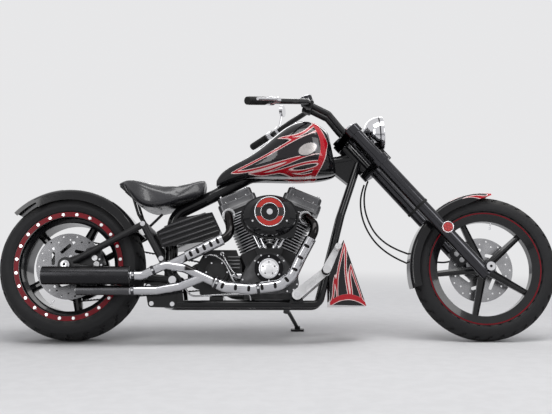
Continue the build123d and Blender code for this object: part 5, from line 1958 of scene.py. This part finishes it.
@dataclass
class ExhaustTrim:
    """Pipe clamps with their screws, port flanges and the silencers' rolled ends."""

    clamps: tuple[tuple[Point, Point, float], ...] = (
        ((0.834, -0.2000, 0.2239), (1.0, 0.0, 0.130), 0.0259),
        ((0.658, -0.2000, 0.2439), (1.0, 0.0, -0.465), 0.0259),
        ((0.385, -0.2092, 0.2983), (0.902, 0.057, 0.427), 0.0214),
        ((0.302, -0.2120, 0.2770), (1.0, 0.0, 0.0), 0.0214),
        ((0.298, -0.1950, 0.2150), (1.0, 0.0, 0.0), 0.0214),
    )
    ports: tuple[tuple[float, float], ...] = ((1.040, 0.545), (0.700, 0.556))
    nut_reach: float = 0.0240
    rims: tuple[tuple[Point, float, float, int], ...] = (
        ((-0.0838, -0.2120, 0.2770), 0.0366, 0.0023, 48),
        ((0.0602, -0.1950, 0.2150), 0.0186, 0.0022, 36),
        ((0.2848, -0.2120, 0.2770), 0.0372, 0.0020, 48),
    )

    def build(self) -> None:
        """Models the exhaust's trim."""
        bands, screws = [], []
        for at, way, radius in self.clamps:
            band = washer("clamp", (0, 0, 0), radius, radius - 0.0030, 0.0130, Lie.Z, 36)
            soften(band, 0.0008, 1)
            band.data.transform(facing(at, way))
            bands.append(band)
            screws.append(Matrix.Translation((0, 0.0006 - radius, 0)) @ facing(at, RIGHT))
        finish_piece(merge(bands, "exhaust_clamps"), PALETTE.dark_chrome)
        scatter("clamp_screws", hex_bolt(0.0046, 0.0055), screws)
        flanges, nuts = [], []
        for x, z in self.ports:
            flange = washer("flange", (x, -0.0835, z), 0.0290, 0.0188, 0.0065, Lie.Y, 36)
            soften(flange, 0.0010)
            flanges.append(flange)
            nuts += looking([(x + k, -0.0866, z) for k in (-self.nut_reach, self.nut_reach)])
        finish_piece(merge(flanges, "port_flanges"), PALETTE.steel)
        scatter("port_nuts", hex_bolt(0.0042, 0.0070), nuts)
        ends = [hoop("end", at, radius, thick, Lie.X, sides) for at, radius, thick, sides in self.rims]
        finish_piece(merge(ends, "silencer_rims"), PALETTE.satin_black, smoothing=ROUND)


@dataclass
class TankTrim:
    """The filler cap's grips and the bare oval plate on each side of the tank."""

    tank: Piece
    cap_at: Point = (1.0131, 0.0, 0.9808)
    cap_tilt: float = math.radians(-18.0)
    cap_grips: int = 20
    badge_at: tuple[float, float] = (1.050, 0.838)
    badge_size: tuple[float, float] = (0.050, 0.029)
    badge_tilt: float = math.radians(-24.0)
    badge_start: float = 0.17

    def build(self) -> None:
        """Models the tank's trim."""
        cap = Matrix.Translation(self.cap_at) @ Matrix.Rotation(self.cap_tilt, 4, "Y")
        grip = block("grip", (0.0300, 0, 0.0035), (0.0030, 0.0036, 0.0200))
        step(grip, 0.0008, -0.0006, AHEAD)
        places = [cap @ Matrix.Rotation(math.radians(turn), 4, "Z") for turn in even(self.cap_grips)]
        scatter("cap_grips", grip, places)
        disc = drum("cap_top", (0, 0, 0.0156), 0.0245, 0.0020, Lie.Z, 40)
        step(disc, 0.0050, 0.0010)
        disc.data.transform(cap)
        finish_piece(disc, PALETTE.dark_chrome)
        for name, side in SIDES.items():
            self.badge_layer(f"tank_plate_border_{name}", side, 1.0, 0.0010, PALETTE.dark_chrome)
            self.badge_layer(f"tank_plate_{name}", side, 0.86, 0.0024, PALETTE.plate)

    def badge_layer(self, name: str, side: int, share: float, height: float, finish: Finish) -> None:
        """Models one oval layer that follows the tank's curve.

        Args:
            name: its plain name.
            side: -1 for the right side of the tank and 1 for the left.
            share: its size beside the whole badge.
            height: how far it stands off the tank.
            finish: its finish.
        """
        x, z = self.badge_at
        wide, tall = self.badge_size
        plate = drum(name, (0, 0, 0), 1.0, 0.001, Lie.Y, 64)
        pick(plate, lambda middle, normal: normal.y * side < 0.5)
        with editing(plate):
            bpy.ops.mesh.delete(type="FACE")
        pick(plate, lambda middle, normal: True)
        with editing(plate):
            for _ in range(4):
                bpy.ops.mesh.inset(thickness=0.2)
        size = Matrix.Diagonal((wide * share, 1.0, tall * share, 1.0))
        turn = Matrix.Rotation(self.badge_tilt, 4, "Y")
        place = Matrix.Translation((x, side * self.badge_start, z)) @ turn @ size
        plate.data.transform(STANCE.matrix @ place)
        apply(
            plate, "SHRINKWRAP", target=self.tank, wrap_method="PROJECT", use_project_y=True,
            use_negative_direction=True, offset=height,
        )
        apply(plate, "SOLIDIFY", thickness=height + 0.0010, offset=-1.0)
        plate.data.transform(STANCE.matrix.inverted())
        soften(plate, 0.0005, 1)
        finish_piece(plate, finish)


@dataclass
class FrameTrim:
    """Bracket bolts, pivot and axle nuts, the bolts on the rear triangle, and the foot controls' grips."""

    bolts: tuple[Bolts, ...] = (
        Bolts("bracket_bolts", hex_bolt, 0.0090, 0.0070, (
            (0.356, -0.1270, 0.236), (0.460, -0.1270, 0.240),
            (0.460, -0.1270, 0.160), (0.370, -0.1270, 0.162),
        )),
        Bolts("pivot_nut", hex_bolt, 0.0150, 0.0100, ((0.463, -0.1640, 0.262),)),
        Bolts("pivot_nut_left", hex_bolt, 0.0150, 0.0100, ((0.463, 0.1900, 0.262),), LEFT),
        Bolts("triangle_bolts", dome_bolt, 0.0110, 0.0120, (
            (0.330, -0.1648, 0.506), (0.413, -0.1648, 0.354), (0.127, -0.1648, 0.306),
        )),
        Bolts("control_bolt", hex_bolt, 0.0100, 0.0060, ((1.000, -0.2210, 0.196),)),
    )
    peg_at: tuple[float, float] = (1.122, 0.295)
    peg_rubbers: int = 6
    arm_foot: tuple[float, float] = (1.000, 0.196)
    arm_run: tuple[float, float] = (0.122, 0.099)
    arm_y: float = 0.2214
    arm_ribs: int = 13
    rib_slope: float = math.tan(math.radians(19.0))
    rib_level: float = 0.430
    rib_hinge: float = 0.525
    rib_pitch: float = 0.024
    rib_radius: float = 0.0062
    rib_y: float = -0.1496
    rib_inset: float = 0.008
    shortest_rib: float = 0.05
    tank_outline: tuple[tuple[float, float], ...] = (
        (0.388, 0.471), (0.413, 0.405), (0.655, 0.436), (0.668, 0.480), (0.631, 0.559), (0.490, 0.535),
    )

    def build(self) -> None:
        """Models the frame's trim."""
        for bolts in self.bolts:
            bolts.build()
        self.foot_controls()
        self.oil_tank_ribs()
        nut = washer("axle_nut", STANCE.axle(Body.REAR_WHEEL, -0.1838), 0.0170, 0.0062, 0.0080, Lie.Y, 6)
        soften(nut, 0.0010)
        finish_piece(nut)

    def foot_controls(self) -> None:
        """The pegs' rubber rings and the ribs on the control arms, on both sides."""
        x, z = self.peg_at
        rubbers, places = [], []
        run, rise = self.arm_run
        tilt = Matrix.Rotation(-math.atan2(rise, run), 4, "Y")
        for side in (-1, 1):
            for k in range(self.peg_rubbers):
                at = (x, side * (0.2290 + 0.0140 * k), z)
                rubbers.append(hoop("peg", at, 0.0165, 0.0022, Lie.Y, 24))
            for k in range(self.arm_ribs):
                share = 0.24 + 0.045 * k
                at = (self.arm_foot[0] + run * share, side * self.arm_y, self.arm_foot[1] + rise * share)
                places.append(Matrix.Translation(at) @ tilt)
        finish_piece(merge(rubbers, "peg_rubbers"), PALETTE.rubber, smoothing=ROUND)
        rib = block("rib", (0, 0, 0), (0.0028, 0.0032, 0.0200))
        soften(rib, 0.0010)
        scatter("control_arm_ribs", rib, places, PALETTE.bright_alloy)

    def oil_tank_ribs(self) -> None:
        """Rounded beads along the oil tank's slanted ribs, from edge to edge of its outline."""
        corners = self.tank_outline
        beads = []
        for k in range(-2, 7):
            level = self.rib_level + self.rib_pitch * k
            ends = []
            for (x0, z0), (x1, z1) in zip(corners, corners[1:] + corners[:1]):
                off0 = z0 - level - (x0 - self.rib_hinge) * self.rib_slope
                off1 = z1 - level - (x1 - self.rib_hinge) * self.rib_slope
                if off0 * off1 < 0:
                    share = off0 / (off0 - off1)
                    ends.append((x0 + share * (x1 - x0), z0 + share * (z1 - z0)))
            if len(ends) < 2:
                continue
            (xa, za), (xb, zb) = sorted(ends)
            if xb - xa < self.shortest_rib:
                continue
            inset = self.rib_inset / (xb - xa)
            shares = (inset, 0.5, 1 - inset)
            line = [(xa + (xb - xa) * share, self.rib_y, za + (zb - za) * share) for share in shares]
            beads.append(tube_run("bead", line, self.rib_radius))
        finish_piece(merge(beads, "oil_tank_ribs"), PALETTE.rib_black, smoothing=ROUND)


@dataclass
class ForkTrim:
    """Fork caps, pinch bolts, dust seals and the axle's clamp bolts."""

    half_width: float = 0.110
    leg_ahead: float = 0.060
    seal_height: float = -0.4440
    cap_height: float = 0.0219
    axle_height: float = -0.845

    def build(self) -> None:
        """Models the fork's trim in the steering frame."""
        frame = STANCE.steer
        seals, caps, pinches, clamps = [], [], [], []
        for side in (-1, 1):
            y = side * self.half_width
            seal = washer("seal", (self.leg_ahead, y, self.seal_height), 0.0330, 0.0308, 0.0120, Lie.Z, 40)
            soften(seal, 0.0010, 1)
            seal.data.transform(frame)
            seals.append(seal)
            caps.append(frame @ Matrix.Translation((self.leg_ahead, y, self.cap_height)))
            pinches += [frame @ facing((0.0999, side * 0.084, z), AHEAD) for z in (0.0, -0.180)]
            face = y + side * 0.0228
            for ahead in (0.0705, 0.1095):
                clamps.append(frame @ facing((ahead, face, self.axle_height), (0, side, 0)))
        finish_piece(merge(seals, "fork_seals"), PALETTE.rubber, Body.STEERING)
        cap = drum("cap", (0, 0, 0.003), 0.0250, 0.006, Lie.Z, 36)
        step(cap, 0.0040, -0.0020)
        step(cap, 0.0080, 0.0030)
        scatter("fork_caps", cap, caps, body=Body.STEERING)
        scatter("tree_bolts", socket_bolt(0.0055, 0.0070), pinches, body=Body.STEERING)
        scatter("axle_clamp_bolts", socket_bolt(0.0034, 0.0040), clamps, body=Body.STEERING)


@dataclass
class HandlebarTrim:
    """Ribs on the grips, lever pivots, clamp bolts and the dial."""

    bar: Point = (1.057, 0.090, 1.075)
    end: Point = (0.796, 0.425, 0.985)
    grip_ribs: int = 9
    clamp_tilt: float = math.radians(25.0)
    dial_at: Point = (1.051, 0.0, 1.103)
    dial_tilt: float = math.radians(-20.0)
    ticks: int = 11
    needle_angle: float = math.radians(200.0)

    def build(self) -> None:
        """Models the handlebar's trim."""
        ribs, pivots, clamps = [], [], []
        turn = Matrix.Rotation(self.clamp_tilt, 4, "Y")
        for side in (-1, 1):
            root = Vector((self.bar[0], side * self.bar[1], self.bar[2]))
            end = Vector((self.end[0], side * self.end[1], self.end[2]))
            out = (end - root).normalized()
            for k in range(self.grip_ribs):
                rib = hoop("rib", (0, 0, 0), 0.0166, 0.0014, Lie.Z, 24)
                rib.data.transform(facing(end - out * (0.105 - 0.0125 * k), out))
                ribs.append(rib)
            ahead = Vector(UP).cross(out) * -side
            pivots.append(facing(end - out * 0.146 + ahead * 0.042 + Vector((0, 0, 0.0062)), UP))
            clamp = Matrix.Translation((self.bar[0], side * 0.048, self.bar[2])) @ turn
            clamps += [clamp @ Matrix.Translation((k, 0, 0.0199)) for k in (-0.0095, 0.0095)]
        finish_piece(merge(ribs, "grip_ribs"), PALETTE.rubber, Body.STEERING, ROUND)
        scatter("lever_pivots", hex_bolt(0.0048, 0.0040), pivots, body=Body.STEERING)
        self.dial()
        scatter("bar_clamp_bolts", socket_bolt(0.0042, 0.0060), clamps, body=Body.STEERING)

    def dial(self) -> None:
        """The gauge's face with its ticks, needle and rim."""
        place = Matrix.Translation(self.dial_at) @ Matrix.Rotation(self.dial_tilt, 4, "Y")
        face = drum("dial_face", (0, 0, 0.0182), 0.0265, 0.0010, Lie.Z, 48)
        step(face, 0.0020, 0.0003)
        face.data.transform(place)
        finish_piece(face, PALETTE.dial, Body.STEERING)
        marks = []
        for k in range(self.ticks):
            tick = block("tick", (0.0205, 0, 0.0188), (0.0045 if k % 2 else 0.0065, 0.0009, 0.0006))
            step(tick, 0.0001, -0.0001)
            tick.data.transform(place @ Matrix.Rotation(math.radians(150 - 30 * k), 4, "Z"))
            marks.append(tick)
        needle = block("needle", (0.0060, 0, 0.0194), (0.0250, 0.0013, 0.0008))
        step(needle, 0.0002, -0.0002)
        needle.data.transform(place @ Matrix.Rotation(self.needle_angle, 4, "Z"))
        marks.append(needle)
        finish_piece(merge(marks, "dial_marks"), PALETTE.satin_black, Body.STEERING)
        rim = hoop("dial_rim", (0, 0, 0.0180), 0.0295, 0.0022, Lie.Z, 48)
        rim.data.transform(place)
        finish_piece(rim, body=Body.STEERING, smoothing=ROUND)


@dataclass
class HeadlampTrim:
    """The headlamp's bezel, its band and the flutes behind the glass."""

    at: Point = (1.400, 0.0, 0.948)
    tilt: float = math.radians(-4.0)
    glass_radius: float = 0.0660
    flute_pitch: float = 0.0115

    def build(self) -> None:
        """Models the headlamp's trim."""
        place = Matrix.Translation(self.at) @ Matrix.Rotation(self.tilt, 4, "Y")
        bezel = hoop("headlamp_bezel", (-0.0010, 0, 0), 0.0732, 0.0042, Lie.X, 72)
        bezel.data.transform(place)
        finish_piece(bezel, body=Body.STEERING, smoothing=ROUND)
        band = washer("headlamp_band", (-0.0170, 0, 0), 0.0778, 0.0765, 0.0060, Lie.X, 72)
        band.data.transform(place)
        finish_piece(band, PALETTE.dark_chrome, Body.STEERING)
        flutes = []
        for k in range(-5, 6):
            y = self.flute_pitch * k
            tall = 2 * math.sqrt(self.glass_radius**2 - y * y)
            flute = block("flute", (0.0018, y, 0), (0.0012, 0.0022, tall))
            step(flute, 0.0006, -0.0006, AHEAD)
            flute.data.transform(place)
            flutes.append(flute)
        finish_piece(merge(flutes, "lens_flutes"), PALETTE.clear_glass, Body.STEERING)


@dataclass
class FenderTrim:
    """Strut bolts, the rear fender's rolled edges and the marker lamps' rims and facets."""

    strut_height: float = -0.515
    lamp_at: tuple[float, float] = (0.068, -0.596)
    edge_radius: float = 0.2930
    edge_y: float = 0.1332
    edge_angles: tuple[float, float] = (27.0, 116.0)
    edge_points: int = 19

    def build(self) -> None:
        """Models the fenders' trim."""
        frame = STANCE.steer
        u, height = self.lamp_at
        struts, rims, facets = [], [], []
        for side in (-1, 1):
            out = (0, side, 0)
            holes = [(ahead, side * 0.0735, self.strut_height) for ahead in (0.050, 0.070)]
            struts += [frame @ place for place in looking(holes, UP)]
            rim = hoop("rim", (u, side * 0.1555, height), 0.0235, 0.0024, Lie.Y, 40)
            rim.data.transform(frame)
            rims.append(rim)
            middle = (u, side * 0.1562, height)
            facets += [frame @ place for place in looking([middle, *ring(middle, 0.0125, even(6))], out)]
        scatter("fender_bolts", socket_bolt(0.0045, 0.0055), struts, body=Body.STEERING)
        finish_piece(merge(rims, "marker_rims"), body=Body.STEERING, smoothing=ROUND)
        # The facet domes are modelled; their lighter red is a painted highlight.
        facet = dome_bolt(0.0055, 0.0036)
        scatter("marker_facets", facet, facets, PALETTE.lens_facet, Body.STEERING)
        for name, side in SIDES.items():
            self.rolled_edge(name, side)

    def rolled_edge(self, name: str, side: int) -> None:
        """Models a bead of wire along a lower edge of the rear fender.

        Args:
            name: the side's name.
            side: -1 for the right side and 1 for the left.
        """
        first, last = self.edge_angles
        step = (last - first) / (self.edge_points - 1)
        axle = STANCE.axle(Body.REAR_WHEEL, side * self.edge_y)
        points = ring(axle, self.edge_radius, [first + step * k for k in range(self.edge_points)])
        wire = tube_run(f"fender_bead_{name}", points, 0.0019, 8)
        finish_piece(wire, PALETTE.gloss_black, smoothing=ROUND)


BRAKE_ROUTE = (
    (-7, 76, -198), (-39, 76, -214), (-78, 76, -247), (-112, 76, -290), (-136, 76, -342), (-150, 76, -398),
    (-147, 76, -458), (-129, 76, -516), (-100, 76, -573), (-70, 76, -629), (-35, 77, -680), (0, 78, -716),
    (26, 77, -727),
)
SENSOR_ROUTE = (
    (-29, 92, -198), (-70, 92, -220), (-113, 92, -262), (-146, 92, -313), (-168, 92, -374), (-176, 91, -439),
    (-168, 90, -503), (-150, 86, -560), (-134, 76, -599), (-127, 69.4, -618),
)


def main() -> None:
    """Loads the parts, dresses them and sets the studio up."""
    logging.basicConfig(level=logging.INFO, format="%(name)s: %(message)s")
    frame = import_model()
    STANCE.read(frame["joints"])
    nodes = frame["nodes"]
    Studio().build()
    Paint().dress(nodes)
    for part in (
        Hose("brake_hose", BRAKE_ROUTE, 0.643), Hose("sensor_hose", SENSOR_ROUTE, 0.485),
        REAR_TYRE, FRONT_TYRE, SeatPad(nodes["seat"]), WheelTrim(), BrakeTrim(), BeltDrive(), EngineTrim(),
        LineTrim(), AirCleanerTrim(), ExhaustTrim(), TankTrim(nodes["fuel_tank"]), FrameTrim(), ForkTrim(),
        HandlebarTrim(), HeadlampTrim(), FenderTrim(),
    ):
        part.build()


if __name__ == "__main__":
    main()
